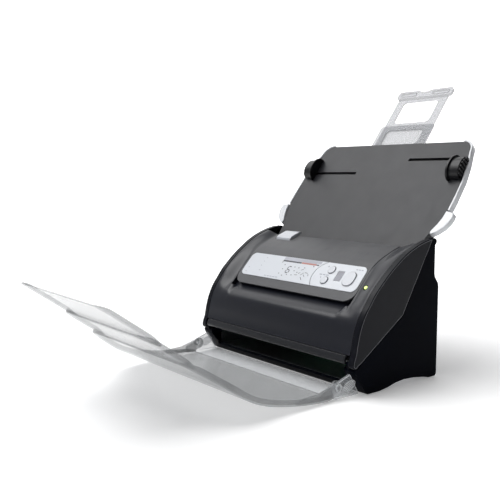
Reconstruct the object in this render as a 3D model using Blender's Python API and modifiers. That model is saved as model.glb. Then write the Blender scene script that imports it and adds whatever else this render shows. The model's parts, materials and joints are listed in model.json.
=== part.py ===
"""Sheet fed document scanner: base, drop-forward feeder cover, input chute and clear output tray.

Lengths in the tables are millimetres in a body frame: X across the width, Y to the back, Z up from the table.
The whole object is then moved along Y by Y_SHIFT so that its origin is the bottom centre of its outer box.
"""

import math

import bmesh
import bpy
from mathutils import Matrix, Vector

# ---------------------------------------------------------------- driving dimensions (mm)
Y_SHIFT = 70.5157
HALF_W = 159.0  # half of the body width
CHEEK_IN = 150.3  # inner face of the cover cheeks
CORE = 149.8  # half width of the centre covers between the cheeks
WALL = 2.8
HINGE = (-80.0, 40.0)  # cover hinge axis, (y, z)
TRAY_PIVOT = (-101.0, 15.0)  # output tray hinge axis, (y, z)
CHUTE_ANGLE = 51.9  # chute plane above the horizontal
CHUTE_FOOT = (54.7, 173.7)  # where the chute plane meets the paper entry, (y, z)
PANEL_ANGLE = 47.0
PANEL_MID = (-29.0, 133.5)
SEAM = [(63.4, 184.1), (6.8, 91.2), (-73.7, 38.3)]  # paper path line, from entry to exit

# outer side line of the cheeks, from the lip up to the rear edge
RIM = [
    (-84.5, 42.0), (-83.2, 47.0), (-80.6, 53.5), (-79.0, 62.0), (-75.3, 77.0), (-70.3, 90.0), (-63.7, 102.0),
    (-56.0, 112.0), (-46.7, 124.1), (-33.5, 136.9), (-20.0, 148.7), (-6.5, 158.6), (7.0, 167.5), (21.0, 174.6),
    (33.0, 179.4), (46.0, 183.6), (60.0, 186.6),
]

bpy.ops.object.select_all(action="DESELECT")
for old in list(bpy.data.objects):
    bpy.data.objects.remove(old, do_unlink=True)

scene = bpy.context.scene
PARTS = bpy.data.collections.new("sheet_fed_document_scanner")
CUTTERS = bpy.data.collections.new("cutters")
scene.collection.children.link(PARTS)
scene.collection.children.link(CUTTERS)
CUTTERS.hide_render = True


# ---------------------------------------------------------------- helpers
def material(name, colour, rough=0.45, metal=0.0, alpha=1.0):
    found = bpy.data.materials.get(name)
    if found:
        return found
    made = bpy.data.materials.new(name)
    made.use_nodes = True
    shader = made.node_tree.nodes["Principled BSDF"]
    shader.inputs["Base Color"].default_value = (*colour, 1.0)
    shader.inputs["Roughness"].default_value = rough
    shader.inputs["Metallic"].default_value = metal
    shader.inputs["Alpha"].default_value = alpha
    return made


def frame(x=0.0, y=0.0, z=0.0, right=(1, 0, 0), up=(0, 1, 0)):
    """Matrix from a local mm frame to the world: local X along right, local Y along up."""
    a = Vector(right).normalized()
    b = Vector(up).normalized()
    c = a.cross(b)
    m = Matrix((a, b, c)).transposed().to_4x4()
    m.translation = Vector((x, y + Y_SHIFT, z)) * 0.001
    return m @ Matrix.Scale(0.001, 4)


def side_frame(x=0.0):
    """Local X is the body's Y, local Y is its Z, local Z is its X."""
    return frame(x, 0, 0, (0, 1, 0), (0, 0, 1))


def slope(angle, x=0.0, y=0.0, z=0.0):
    """Local X is the body's X, local Y runs up a slope at this angle, local Z is the slope's outward normal."""
    a = math.radians(angle)
    return frame(x, y, z, (1, 0, 0), (0, math.cos(a), math.sin(a)))


CHUTE = slope(CHUTE_ANGLE, 0, *CHUTE_FOOT)
PANEL = slope(PANEL_ANGLE, 0, *PANEL_MID)


def link(name, mesh, mat, cutter=False):
    mesh.validate()
    obj = bpy.data.objects.new(name, mesh)
    (CUTTERS if cutter else PARTS).objects.link(obj)
    if cutter:
        obj.hide_render = True
        obj.display_type = "WIRE"
    elif mat:
        mesh.materials.clear()
        mesh.materials.append(mat)
    return obj


def finish_mesh(obj, smooth=None, merge=2e-6):
    """Merges close points, makes the faces point outwards and smooths faces that meet at a shallow angle."""
    bm = bmesh.new()
    bm.from_mesh(obj.data)
    bmesh.ops.remove_doubles(bm, verts=bm.verts, dist=merge)
    bmesh.ops.recalc_face_normals(bm, faces=bm.faces)
    if smooth:
        for f in bm.faces:
            f.smooth = True
        for e in bm.edges:
            if len(e.link_faces) == 2 and e.calc_face_angle(0) > math.radians(smooth):
                e.smooth = False
    bm.to_mesh(obj.data)
    bm.free()
    return obj


def arc(cx, cy, r, a0, a1, n):
    return [
        (cx + r * math.cos(math.radians(a0 + (a1 - a0) * i / n)), cy + r * math.sin(math.radians(a0 + (a1 - a0) * i / n)))
        for i in range(n + 1)
    ]


def circle(cx, cy, r, n=24):
    return arc(cx, cy, r, 0, 360, n)[:-1]


def rounded(points, radius, n=4):
    """A closed outline with each corner rounded; radius is one number or one per corner."""
    out = []
    count = len(points)
    for i, p in enumerate(points):
        r = radius[i] if isinstance(radius, (list, tuple)) else radius
        a, b, c = Vector(points[i - 1]), Vector(p), Vector(points[(i + 1) % count])
        u, v = (a - b), (c - b)
        if r <= 0 or u.length < 1e-6 or v.length < 1e-6:
            out.append(tuple(p))
            continue
        half = u.angle(v) / 2
        if half > math.radians(88) or half < 0.02:
            out.append(tuple(p))
            continue
        back = min(r / math.tan(half), u.length * 0.49, v.length * 0.49)
        r = back * math.tan(half)
        centre = b + (u.normalized() + v.normalized()).normalized() * (r / math.sin(half))
        s, e = b + u.normalized() * back - centre, b + v.normalized() * back - centre
        turn = s.angle_signed(e)
        for k in range(n + 1):
            t = -turn * k / n
            out.append((centre.x + s.x * math.cos(t) - s.y * math.sin(t), centre.y + s.x * math.sin(t) + s.y * math.cos(t)))
    return out


def rect(x0, y0, x1, y1, r=0.0, n=3):
    return rounded([(x0, y0), (x1, y0), (x1, y1), (x0, y1)], r, n) if r else [(x0, y0), (x1, y0), (x1, y1), (x0, y1)]


def offset_line(points, d):
    """An open polyline moved sideways by d; positive d moves it to the left of its direction."""
    out = []
    for i, p in enumerate(points):
        normals = []
        for a, b in ((i - 1, i), (i, i + 1)):
            if a >= 0 and b < len(points):
                t = (Vector(points[b]) - Vector(points[a])).normalized()
                normals.append(Vector((-t.y, t.x)))
        m = sum(normals, Vector((0, 0))).normalized()
        out.append(tuple(Vector(p) + m * (d / max(0.3, m.dot(normals[0])))))
    return out


def band(points, t0, t1):
    """The closed outline between an open polyline moved by t0 and by t1."""
    return offset_line(points, t0) + offset_line(points, t1)[::-1]


def prism(name, outlines, z0, z1, at, mat=None, bevel=0.0, cutter=False, smooth=None, segments=2, limit=40):
    """Solid between local z0 and z1 of one outline, or of an outline followed by its holes: a filled 2D curve."""
    if isinstance(outlines[0][0], (int, float)):
        outlines = [outlines]
    curve = bpy.data.curves.new(name, "CURVE")
    curve.dimensions = "2D"
    curve.fill_mode = "BOTH"
    curve.extrude = (z1 - z0) / 2
    for outline in outlines:
        spline = curve.splines.new("POLY")
        spline.points.add(len(outline) - 1)
        for point, (x, y) in zip(spline.points, outline):
            point.co = (x, y, 0, 1)
        spline.use_cyclic_u = True
    temp = bpy.data.objects.new(name + "_curve", curve)
    scene.collection.objects.link(temp)
    bpy.context.view_layer.update()
    mesh = bpy.data.meshes.new_from_object(temp.evaluated_get(bpy.context.evaluated_depsgraph_get()))
    bpy.data.objects.remove(temp, do_unlink=True)
    bpy.data.curves.remove(curve)
    mesh.transform(at @ Matrix.Translation((0, 0, (z0 + z1) / 2)))
    obj = finish_mesh(link(name, mesh, mat, cutter), smooth)
    if bevel:
        soften(obj, bevel, segments, limit)
    return obj


def soften(obj, width, segments=2, limit=40):
    mod = obj.modifiers.new("Bevel", "BEVEL")
    mod.width = width * 0.001
    mod.segments = segments
    mod.limit_method = "ANGLE"
    mod.angle_limit = math.radians(limit)
    mod.use_clamp_overlap = True
    mod.harden_normals = False
    return obj


def turned(name, profile, at, mat=None, steps=24, cutter=False, smooth=35):
    """Solid of revolution about local Z; profile is (radius, z) from top to bottom down its outer side."""
    mesh = bpy.data.meshes.new(name)
    bm = bmesh.new()
    last = None
    for r, z in profile:
        v = bm.verts.new((r, 0, z))
        if last:
            bm.edges.new((last, v))
        last = v
    bm.to_mesh(mesh)
    bm.free()
    temp = bpy.data.objects.new(name + "_profile", mesh)
    scene.collection.objects.link(temp)
    mod = temp.modifiers.new("Screw", "SCREW")
    mod.steps = steps
    mod.render_steps = steps
    mod.use_merge_vertices = True
    mod.merge_threshold = 0.0001
    mod.use_normal_calculate = True
    bpy.context.view_layer.update()
    done = bpy.data.meshes.new_from_object(temp.evaluated_get(bpy.context.evaluated_depsgraph_get()))
    bpy.data.objects.remove(temp, do_unlink=True)
    done.transform(at)
    return finish_mesh(link(name, done, mat, cutter), smooth)


def evaluated(obj):
    bpy.context.view_layer.update()
    return bpy.data.meshes.new_from_object(obj.evaluated_get(bpy.context.evaluated_depsgraph_get()))


def drop(obj):
    mesh = obj.data
    bpy.data.objects.remove(obj, do_unlink=True)
    if mesh.users == 0:
        bpy.data.meshes.remove(mesh)


def open_edges(mesh):
    bm = bmesh.new()
    bm.from_mesh(mesh)
    count = sum(len(e.link_faces) != 2 for e in bm.edges)
    bm.free()
    return count


def boolean(obj, others, operation="DIFFERENCE"):
    """Cuts or joins with exact Booleans, one after another, and keeps the result as the object's own mesh."""
    mats = [m for m in obj.data.materials]
    for other in others:
        mod = obj.modifiers.new("Boolean", "BOOLEAN")
        mod.operation = operation
        mod.object = other
        mod.solver = "EXACT"
        mesh = evaluated(obj)
        if open_edges(mesh):
            mod.use_hole_tolerant = True
            mesh = evaluated(obj)
        obj.modifiers.clear()
        obj.data = mesh
        drop(other)
        finish_mesh(obj, 35, 2e-7)
    obj.data.materials.clear()
    for m in mats[:1]:
        obj.data.materials.append(m)
    return obj


def box(name, x0, y0, z0, x1, y1, z1, mat=None, bevel=0.0, cutter=False, at=None, segments=2):
    return prism(name, rect(x0, y0, x1, y1), z0, z1, at or frame(), mat, bevel, cutter, segments=segments)


def cut_box(x0, y0, z0, x1, y1, z1, at=None, bevel=0.0):
    return box("cutter", x0, y0, z0, x1, y1, z1, None, bevel, True, at)


def cut_prism(outlines, z0, z1, at, bevel=0.0):
    return prism("cutter", outlines, z0, z1, at, None, bevel, True)


def cut_round(cx, cy, r, z0, z1, at, n=24):
    return prism("cutter", circle(cx, cy, r, n), z0, z1, at, None, 0, True)


def axis_x(x, y, z):
    """Frame whose local Z runs along the body's X, for shafts."""
    return frame(x, y, z, (0, 1, 0), (0, 0, 1))


# ---------------------------------------------------------------- materials
BLACK = material("case_black", (0.012, 0.014, 0.020), 0.38)
NAVY = material("cover_black", (0.018, 0.020, 0.030), 0.32)
CHEEK = material("cheek_black", (0.022, 0.023, 0.028), 0.36)
GREY = material("cover_grey", (0.085, 0.087, 0.095), 0.45)
LIP = material("lip_grey", (0.060, 0.062, 0.070), 0.40)
SILVER = material("panel_silver", (0.62, 0.64, 0.68), 0.35)
BRIGHT = material("trim_silver", (0.70, 0.71, 0.73), 0.28, 0.6)
KEY = material("key_grey", (0.66, 0.68, 0.72), 0.35)
SCREEN = material("display_grey", (0.25, 0.26, 0.30), 0.20)
LAMP = material("lamp_green", (0.65, 0.85, 0.25), 0.25)
TRAY_DARK = material("chute_grey", (0.035, 0.036, 0.040), 0.45)
GUIDE_BLACK = material("guide_black", (0.010, 0.010, 0.012), 0.40)
CLEAR = material("tray_clear", (0.80, 0.82, 0.84), 0.12, 0.0, 0.35)
REST = material("rest_smoke", (0.55, 0.57, 0.60), 0.18, 0.0, 0.5)
STEEL = material("steel", (0.55, 0.56, 0.58), 0.30, 1.0)
ZINC = material("zinc_sheet", (0.50, 0.51, 0.53), 0.40, 1.0)
RUBBER = material("rubber", (0.020, 0.020, 0.022), 0.85)
TYRE = material("roller_rubber", (0.10, 0.11, 0.13), 0.80)
INNER = material("inner_grey", (0.16, 0.17, 0.18), 0.50)
GLASS = material("sensor_glass", (0.60, 0.75, 0.78), 0.05, 0.0, 0.5)
PCB = material("board_green", (0.02, 0.16, 0.07), 0.45)
SOCKET = material("socket_black", (0.015, 0.015, 0.016), 0.55)
PAD = material("pad_cork", (0.28, 0.14, 0.07), 0.90)

# ---------------------------------------------------------------- base
BASE_OUT = [
    (-63.0, 5.0), (-59.5, 1.2), (-57.0, 0.6), (-36.0, 0.6), (-20.6, 2.5), (-5.3, 5.9), (10.5, 7.2), (30.0, 6.2),
    (52.0, 3.0), (62.0, 0.6), (75.0, 0.6), (77.6, 3.0), (78.0, 6.0), (78.0, 122.0), (76.8, 127.0), (70.0, 136.0),
    (69.0, 140.0), (69.0, 181.5), (67.4, 184.2), (63.7, 184.0), (7.1, 91.0), (-71.0, 39.6), (-75.2, 35.4), (-80.0, 34.4),
    (-80.6, 31.5), (-78.5, 27.0),
]
BASE_IN = [
    (-60.0, 4.0), (-57.5, -4.0), (72.0, -4.0), (75.2, 8.0), (75.2, 121.2), (73.8, 125.6), (67.2, 134.8),
    (66.2, 139.4), (66.2, 176.0), (70.0, 200.0), (20.0, 160.0), (-40.0, 90.0), (-110.0, 60.0), (-90.0, 40.0),
    (-77.2, 36.0), (-76.8, 30.4), (-75.6, 27.0),
]
SF = side_frame()
base = prism("base_housing", BASE_OUT, -HALF_W, HALF_W, SF, BLACK)
cuts = [cut_prism(BASE_IN, -HALF_W + WALL, HALF_W - WALL, SF)]
# exit slot and output mouth in the front wall, below the cover lip
cuts.append(cut_box(-139.5, -95, 4.7, 139.5, -66, 50))
# connector bay in the rear wall
cuts.append(cut_box(-118, 70, 16, -12, 90, 58))
# upper ends of the side walls are let in so that the cheeks close over them
base = boolean(base, cuts)

# ribbed closing panel of the connector bay, with a louvre field
rear = prism("rear_cover", [rect(-117.6, 16.4, -12.4, 57.6, 2.0), rect(-104.0, 28.0, -90.0, 41.0, 1.0),
                            rect(-72.0, 29.0, -57.0, 41.0, 1.0)] +
             [rect(-46.0 + 5.2 * i, 23.0, -43.4 + 5.2 * i, 51.0, 1.0) for i in range(6)],
             -75.4, -73.2, frame(0, 0, 0, (1, 0, 0), (0, 0, 1)), SOCKET)

# sheet floor that closes the housing from below
floor = box("bottom_plate", -155.8, -56.6, 8.2, 155.8, 71.6, 9.8, ZINC)
floor_cuts = [cut_box(-60 + 24 * i, 20, 0, -48 + 24 * i, 50, 20) for i in range(6)]
floor = boolean(floor, floor_cuts)

# two rubber foot strips: a pad at each end of a thin web
def foot_strip(name, y):
    strip = box(name, -134, y - 3, 5.4, 134, y + 3, 7.6, RUBBER)
    pads = [prism("pad", circle(x, y, 6.0, 20), 0.0, 7.7, frame(), RUBBER) for x in (-138, 138)]
    return boolean(strip, pads, "UNION")


foot_strip("front_foot_strip", -49.0)
foot_strip("rear_foot_strip", 64.0)

# lower paper guide: a plate 2 mm thick just behind the seam, with windows for tyres and the sensor glass
GUIDE_LINE = [(50.0, 162.2), (6.8, 91.2), (-70.0, 40.7)]
guide = prism("lower_guide_plate", band(GUIDE_LINE, 1.0, 3.0), -144.6, 144.6, SF, INNER)
ROLLERS = {"pick": (34.0, 11.0, (-24, 24)), "feed": (4.0, 9.0, (-72, 72)), "exit": (-50.0, 9.0, (-72, 72))}


def on_seam(y):
    """Point of the seam line at this y, and the unit vector across it, from the base towards the cover."""
    for (ya, za), (yb, zb) in zip(SEAM, SEAM[1:]):
        if yb <= y <= ya:
            t = (y - ya) / (yb - ya)
            d = Vector((yb - ya, zb - za)).normalized()
            return Vector((y, za + t * (zb - za))), Vector((d.y, -d.x))
    raise ValueError(y)


AXES = {}
for key, (y, r, _) in ROLLERS.items():
    p, across = on_seam(y)
    AXES[key] = p - across * (r + 0.6)
windows = []
for key, (y, r, xs) in ROLLERS.items():
    c = AXES[key]
    for x in xs:
        windows.append(cut_round(c.x, c.y, r + 1.2, x - 14.5, x + 14.5, SF, 24))
# the sensor glass lies in its own window of the lower plate
SENSOR_Y = -29.0
sp, sn = on_seam(SENSOR_Y)
SENSOR = frame(0, sp.x, sp.y, (1, 0, 0), (0, 0.8355, 0.5495))
windows.append(cut_box(-122, -9.5, -8, 122, 9.5, 8, SENSOR))
guide = boolean(guide, windows)
lower_glass = box("lower_sensor_glass", -121.4, -8.9, -3.0, 121.4, 8.9, -0.9, GLASS, 0.3, False, SENSOR)


# ---------------------------------------------------------------- frames, shafts, drive
# sheet steel cheek plates inside the housing; shaft holes clear the journals by 0.35 mm
FRAME_TOP = offset_line([(50.0, 162.1), (6.8, 91.2), (-60.0, 47.3)], 4.4)
FRAME_OUT = rounded([(-58.0, 10.2), (64.0, 10.2), (64.0, 150.0)] + FRAME_TOP, 2.5, 3)
SHAFT_R = 3.0
for side, x0 in (("left", -146.6), ("right", 145.2)):
    holes = [circle(AXES[k].x, AXES[k].y, SHAFT_R + 0.35, 16) for k in AXES]
    holes.append(circle(20.0, 40.0, 14.0, 24))
    holes.append(circle(45.0, 85.0, 8.0, 20))
    prism("side_frame_" + side, [FRAME_OUT] + holes, x0, x0 + 1.4, SF, ZINC)


LANE_A, LANE_B, LANE_C = (147.1, 149.9), (150.1, 152.9), (153.1, 155.7)  # motor, pick and exit belts
R_ROLL, R_DRIVEN, R_MOTOR = 6.0, 8.0, 4.0


def shaft(name, key, x0, x1, lanes):
    """Steel shaft with its belt pulleys, each a groove between two flanges."""
    c = AXES[key]
    out = [(0, x1), (SHAFT_R - 0.4, x1), (SHAFT_R, x1 - 0.05)]
    for (a, b), r in lanes:
        f = 0.7
        out += [(SHAFT_R, b), (r + 1.6, b), (r + 1.6, b - f), (r, b - f), (r, a + f), (r + 1.6, a + f), (r + 1.6, a),
                (SHAFT_R, a)]
    out += [(SHAFT_R, x0 + 0.4), (SHAFT_R - 0.4, x0), (0, x0)]
    return turned(name, out, axis_x(0, c.x, c.y), STEEL, 20)


def tyres(name, key, r, xs, half=12.5):
    """Rubber tyres on one thin sleeve that is pushed over the shaft."""
    c = AXES[key]
    sleeve, bore = 4.6, SHAFT_R + 0.08
    x0, x1 = xs[0] - half, xs[-1] + half
    out = [(bore, x1)]
    for x in sorted(xs, reverse=True):
        if x + half < x1:
            out.append((sleeve, x + half))
        out += [(r - 0.6, x + half), (r, x + half - 0.6), (r, x - half + 0.6), (r - 0.6, x - half)]
        if x - half > x0:
            out.append((sleeve, x - half))
    out.append((bore, x0))
    out.append((bore, x1))
    return turned(name, out, axis_x(0, c.x, c.y), TYRE, 24)


def hull(points):
    points = sorted(set(points))
    out = []
    for run in (points, points[::-1]):
        part = []
        for p in run:
            while len(part) > 1 and (
                (part[-1][0] - part[-2][0]) * (p[1] - part[-2][1]) - (part[-1][1] - part[-2][1]) * (p[0] - part[-2][0])
            ) <= 1e-9:
                part.pop()
            part.append(p)
        out += part[:-1]
    return out


def belt(name, rounds, x0, x1, thick=0.9):
    inner = hull([q for cx, cy, r in rounds for q in circle(cx, cy, r + 0.3, 32)])
    outer = hull([q for cx, cy, r in rounds for q in circle(cx, cy, r + 0.3 + thick, 32)])
    return prism(name, [outer, inner], x0, x1, SF, RUBBER)


for key, (y, r, xs) in ROLLERS.items():
    lanes = {"pick": [(LANE_B, R_ROLL)], "exit": [(LANE_C, R_ROLL)],
             "feed": [(LANE_C, R_ROLL), (LANE_B, R_ROLL), (LANE_A, R_DRIVEN)]}[key]
    shaft(key + "_shaft", key, -148.4, 155.8, lanes)
    tyres(key + "_roller", key, r, xs)
feed_c = AXES["feed"]

# motor low in the housing, its pulley in the plane of the first belt
MOTOR = (14.0, 40.0)
turned("drive_motor", [(0, 145.0), (10.0, 144.9), (17.4, 144.9), (18.0, 144.2), (18.0, 107.0), (16.8, 105.6),
                       (6.0, 105.6), (6.0, 103.6), (0, 103.6)], axis_x(0, *MOTOR), STEEL, 28)
turned("motor_pulley", [(0, 149.9), (5.6, 149.9), (5.6, 149.2), (4.0, 149.2), (4.0, 147.8), (5.6, 147.8), (5.6, 147.1),
                        (1.9, 147.1), (1.9, 145.4), (0, 145.4)], axis_x(0, *MOTOR), STEEL, 20)
belt("motor_belt", [(feed_c.x, feed_c.y, R_DRIVEN), (*MOTOR, R_MOTOR)], 148.1, 148.9)
belt("pick_belt", [(AXES[k].x, AXES[k].y, R_ROLL) for k in ("pick", "feed")], 151.1, 151.9)
belt("exit_belt", [(AXES[k].x, AXES[k].y, R_ROLL) for k in ("exit", "feed")], 154.0, 154.8)

# lower image sensor behind its glass, held to the guide plate
sensor = prism("lower_sensor", rounded([(-10.5, -24.0), (10.5, -24.0), (10.5, -3.4), (-10.5, -3.4)], 1.5, 2), -124, 124,
               frame(0, sp.x, sp.y, (0, -0.8355, -0.5495), (0, -0.5495, 0.8355)), SOCKET)


# ---------------------------------------------------------------- feeder cover
def loft(name, stations, thick, mat, smooth=35):
    """Shell through side profiles at several x, its inner face `thick` behind the outer one."""
    bm = bmesh.new()
    rows = []
    for x, line in stations:
        inner = offset_line(line, -thick)
        ring = [(x, *p) for p in line] + [(x, *p) for p in inner[::-1]]
        rows.append([bm.verts.new(Vector((q[0], q[1] + Y_SHIFT, q[2])) * 0.001) for q in ring])
    n = len(rows[0])
    half = n // 2
    for a, b in zip(rows, rows[1:]):
        for i in range(n):
            bm.faces.new((a[i], a[(i + 1) % n], b[(i + 1) % n], b[i]))
    for row in (rows[0], rows[-1]):
        for i in range(half - 1):
            bm.faces.new((row[i], row[i + 1], row[n - 2 - i], row[n - 1 - i]))
    mesh = bpy.data.meshes.new(name)
    bm.to_mesh(mesh)
    bm.free()
    return finish_mesh(link(name, mesh, mat), smooth)


PLATEAU_HALF = 122.0
FRONT_R = [(-81.6, 51.2), (-80.0, 56.0), (-78.6, 62.0), (-77.0, 69.5), (-74.9, 77.0), (-72.7, 83.8), (-70.0, 90.0),
           (-67.3, 95.2), (-63.4, 101.6), (-58.8, 107.3), (-54.9, 111.0), (-48.0, 113.0), (-42.0, 118.0)]
FRONT_C = [(-81.6, 51.2), (-80.0, 56.0), (-78.6, 62.0), (-77.1, 69.5), (-75.1, 77.0), (-73.0, 84.0), (-70.8, 90.2),
           (-67.4, 95.0), (-62.5, 98.6), (-56.5, 101.4), (-50.5, 104.6), (-44.5, 109.0), (-40.0, 114.0)]
TOP_R = [(-54.5, 113.6), (-46.7, 123.6), (-40.0, 130.4), (-33.5, 136.4), (-20.0, 148.2), (-6.5, 158.1), (7.0, 167.0),
         (22.0, 174.6), (40.0, 181.2)]
TOP_C = [(-50.9, 110.0), (-42.6, 118.9), (-35.8, 126.2), (-29.0, 133.5), (-14.7, 148.9), (-2.0, 157.8), (10.0, 163.5),
         (25.0, 169.6), (42.0, 175.3)]


def blend_lines(a, b, t):
    return [(p[0] + (q[0] - p[0]) * t, p[1] + (q[1] - p[1]) * t) for p, q in zip(a, b)]


def stations(rim_line, mid_line):
    """Rim level at the cheeks, falling to the plateau level in a soft S."""
    steps = ((CORE, 0.0), (146.5, 0.03), (139.0, 0.36), (130.0, 0.86), (PLATEAU_HALF + 2, 1.0))
    left = [(-x, blend_lines(rim_line, mid_line, t)) for x, t in steps]
    return left + [(-x, line) for x, line in left[::-1]]


front_panel = loft("front_panel", stations(FRONT_R, FRONT_C), 2.4, NAVY)
top_cover = loft("top_cover", stations(TOP_R, TOP_C), 2.4, GREY)

LIP_LINE = [(-80.8, 39.4), (-84.4, 40.4), (-85.6, 42.6), (-85.0, 46.0), (-83.0, 50.6)]
lip = prism("lip_band", LIP_LINE + [(-80.6, 50.4), (-82.0, 46.0), (-82.2, 43.6), (-80.8, 42.2)], -144.6, 144.6, SF, LIP)

# cheeks: the sides of the cover, with the proud rim as their upper edge
SEAM_EDGE = [(63.7, 184.0), (7.1, 91.0), (-71.0, 39.6)]
LOWER = offset_line(SEAM_EDGE, -0.55)
CHEEK_OUT = RIM + [(63.0, 186.4)] + LOWER + arc(*HINGE, 4.6, -25, -175, 7)
HINGE_R = 2.2
for side, x0, x1 in (("left", -HALF_W, -CHEEK_IN), ("right", CHEEK_IN, HALF_W)):
    cheek = prism("cover_cheek_" + side, CHEEK_OUT, x0, x1, SF, CHEEK, 1.5, segments=3, limit=35)
    room = offset_line(RIM[5:-2], -4.0) + [(47.0, 170.0), (6.0, 103.0), (-52.0, 64.0)]
    za, zb = (x0 + 3.0, x1 + 5.0) if side == "left" else (x0 - 5.0, x1 - 3.0)
    cheek = boolean(cheek, [cut_prism(room, za, zb, SF), cut_round(*HINGE, HINGE_R + 0.4, x0 + 2.5 if side == "left"
                    else x0 - 5.0, x1 + 5.0 if side == "left" else x1 - 2.5, SF, 24)])

# hinge ears and pins rise from the base into the cheeks
EAR = [(-76.6, 27.0), (-76.6, 40.0)] + arc(*HINGE, 3.4, 0, 180, 8) + [(-83.4, 38.6), (-80.4, 33.0), (-78.6, 27.0)]
adds = []
for sign in (-1, 1):
    adds.append(cut_prism(EAR, *sorted((145.2 * sign, 149.6 * sign)), SF))
    adds.append(cut_prism([(-77.9, 28.0), (-60.0, 28.0), (-60.0, 33.6), (-76.0, 33.2)],
                          *sorted((141.0 * sign, 157.2 * sign)), SF))
    adds.append(cut_round(*HINGE, HINGE_R, *sorted((147.0 * sign, 155.4 * sign)), SF, 24))
    # knuckle that carries the chute
    adds.append(cut_round(69.0, 182.6, 4.4, *sorted((147.6 * sign, 158.0 * sign)), SF, 24))
base = boolean(base, adds, "UNION")
base = boolean(base, [cut_box(-149.6, 58, 165, 147.2 + 2.4, 90, 200)])


# ---------------------------------------------------------------- cover details
PANEL_BOX = (-114.0, -18.0, 114.0, 20.0)
BUTTONS = {"up_button": circle(59.0, 15.0 - 4.0, 5.6, 24), "down_button": circle(56.5, -7.0, 5.6, 24),
           "scan_button": rounded([(88.5, -10.0), (106.5, -10.0), (106.5, 12.0), (88.5, 12.0)], 8.0, 6)}


def grown(outline, d):
    """A convex outline enlarged by d about its centre."""
    cx = sum(p[0] for p in outline) / len(outline)
    cy = sum(p[1] for p in outline) / len(outline)
    out = []
    for x, y in outline:
        r = math.hypot(x - cx, y - cy)
        out.append((cx + (x - cx) * (r + d) / r, cy + (y - cy) * (r + d) / r))
    return out


top_cuts = [cut_prism(rect(*PANEL_BOX, 9.0, 5), -1.5, 6.0, PANEL)]
top_cuts += [cut_prism(grown(o, 0.5), -6.0, 3.0, PANEL) for o in BUTTONS.values()]
top_cuts.append(cut_round(134.0, -9.0, 2.9, -8.0, 8.0, PANEL, 20))
LEVER_X = (-113.0, -81.0)
top_cuts.append(cut_box(LEVER_X[0] - 0.5, 24.6, 160, LEVER_X[1] + 0.5, 60, 190))
top_cover = boolean(top_cover, top_cuts)

panel = prism("control_panel", rect(PANEL_BOX[0] + 0.4, PANEL_BOX[1] + 0.4, PANEL_BOX[2] - 0.4, PANEL_BOX[3] - 0.4,
                                    8.6, 5), -1.1, 0.4, PANEL, SILVER)
DIVIDER = [(44.0, 21.0), (37.0, 17.0), (31.0, 10.0), (28.6, 2.0), (29.2, -6.0), (32.0, -13.0), (35.5, -19.0)]
panel_cuts = [cut_prism(band(DIVIDER, -0.6, 0.6), -0.3, 3.0, PANEL)]
panel_cuts += [cut_prism(grown(o, 0.4), -3.0, 3.0, PANEL) for o in BUTTONS.values()]
panel_cuts.append(cut_prism(rect(72.0, -5.0, 83.5, 11.5, 0.8), -0.5, 3.0, PANEL))
panel = boolean(panel, panel_cuts)
prism("display_window", rect(72.3, -4.7, 83.2, 11.2, 0.6), -0.2, 0.3, PANEL, SCREEN)
for name, outline in BUTTONS.items():
    prism(name, outline, -3.2, 1.7, PANEL, KEY, 0.5)
prism("status_lamp", circle(134.0, -9.0, 2.4, 20), -5.0, 2.9, PANEL, LAMP, 0.4)
board = box("control_board", -60, -17, -7.6, 116, 18, -6.0, PCB, at=PANEL)
board = boolean(board, [cut_box(x - 3, y - 3, -6.4, x + 3, y + 3, -4.6, PANEL) for x, y in
                        ((59, 11), (56.5, -7), (97.5, 1))] + [cut_box(-40, -8, -6.4, -22, 8, -4.2, PANEL)], "UNION")

# release lever: hinged under the rear left edge of the top cover, its tab lies over the paper entry
LEVER_HINGE = (29.2, 166.6)
LEVER_OUT = arc(*LEVER_HINGE, 2.6, 200, 350, 6) + [(32.4, 169.4), (36.0, 172.0), (45.0, 175.4), (50.6, 178.0),
                                                 (51.2, 180.2), (49.0, 181.6), (45.0, 181.0), (31.0, 175.6),
                                                 (27.2, 172.6), (26.4, 169.0)]
lever = prism("release_lever", LEVER_OUT, *LEVER_X, SF, KEY, 0.7)
lugs = []
for xa in (LEVER_X[0] - 3.3, LEVER_X[1] + 0.5):
    lugs.append(cut_prism(arc(*LEVER_HINGE, 3.4, 180, 360, 8) + [(32.6, 171.2), (25.8, 168.8)], xa, xa + 2.8, SF))
top_cover = boolean(top_cover, lugs, "UNION")
pins = [cut_round(*LEVER_HINGE, 1.5, LEVER_X[0] - 2.6, LEVER_X[1] + 2.6, SF, 16)]
lever = boolean(lever, pins, "UNION")
top_cover = boolean(top_cover, [cut_round(*LEVER_HINGE, 1.9, LEVER_X[0] - 6, LEVER_X[1] + 6, SF, 16)])

# upper paper guide, sensor, glass, idlers, separation pad
upper = prism("upper_guide_plate", band([(43.0, 150.6), (6.8, 91.2), (-72.0, 39.4)], -2.8, -0.9), -144.4, 144.4, SF,
              INNER)
IDLE = {"feed": 7.0, "exit": 6.0}
IDLERS = {}
upper_cuts = [cut_box(-122, -9.5, -8, 122, 9.5, 8, SENSOR)]
for key, r in IDLE.items():
    y = ROLLERS[key][0]
    p, across = on_seam(y)
    c = p + across * (r + 0.6)
    IDLERS[key] = c
    for x in (-72, 72):
        upper_cuts.append(cut_round(c.x, c.y, r + 1.2, x - 12.5, x + 12.5, SF, 24))
    turned(key + "_idler", [(0, 92), (2.0, 92), (2.0, 83), (r - 0.5, 83), (r, 82.5), (r, 61.5), (r - 0.5, 61), (2.0, 61),
                            (2.0, -61), (r - 0.5, -61), (r, -61.5), (r, -82.5), (r - 0.5, -83), (2.0, -83), (2.0, -92),
                            (0, -92)], axis_x(0, c.x, c.y), INNER, 20)
PAD_P, PAD_N = on_seam(34.0)
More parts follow.
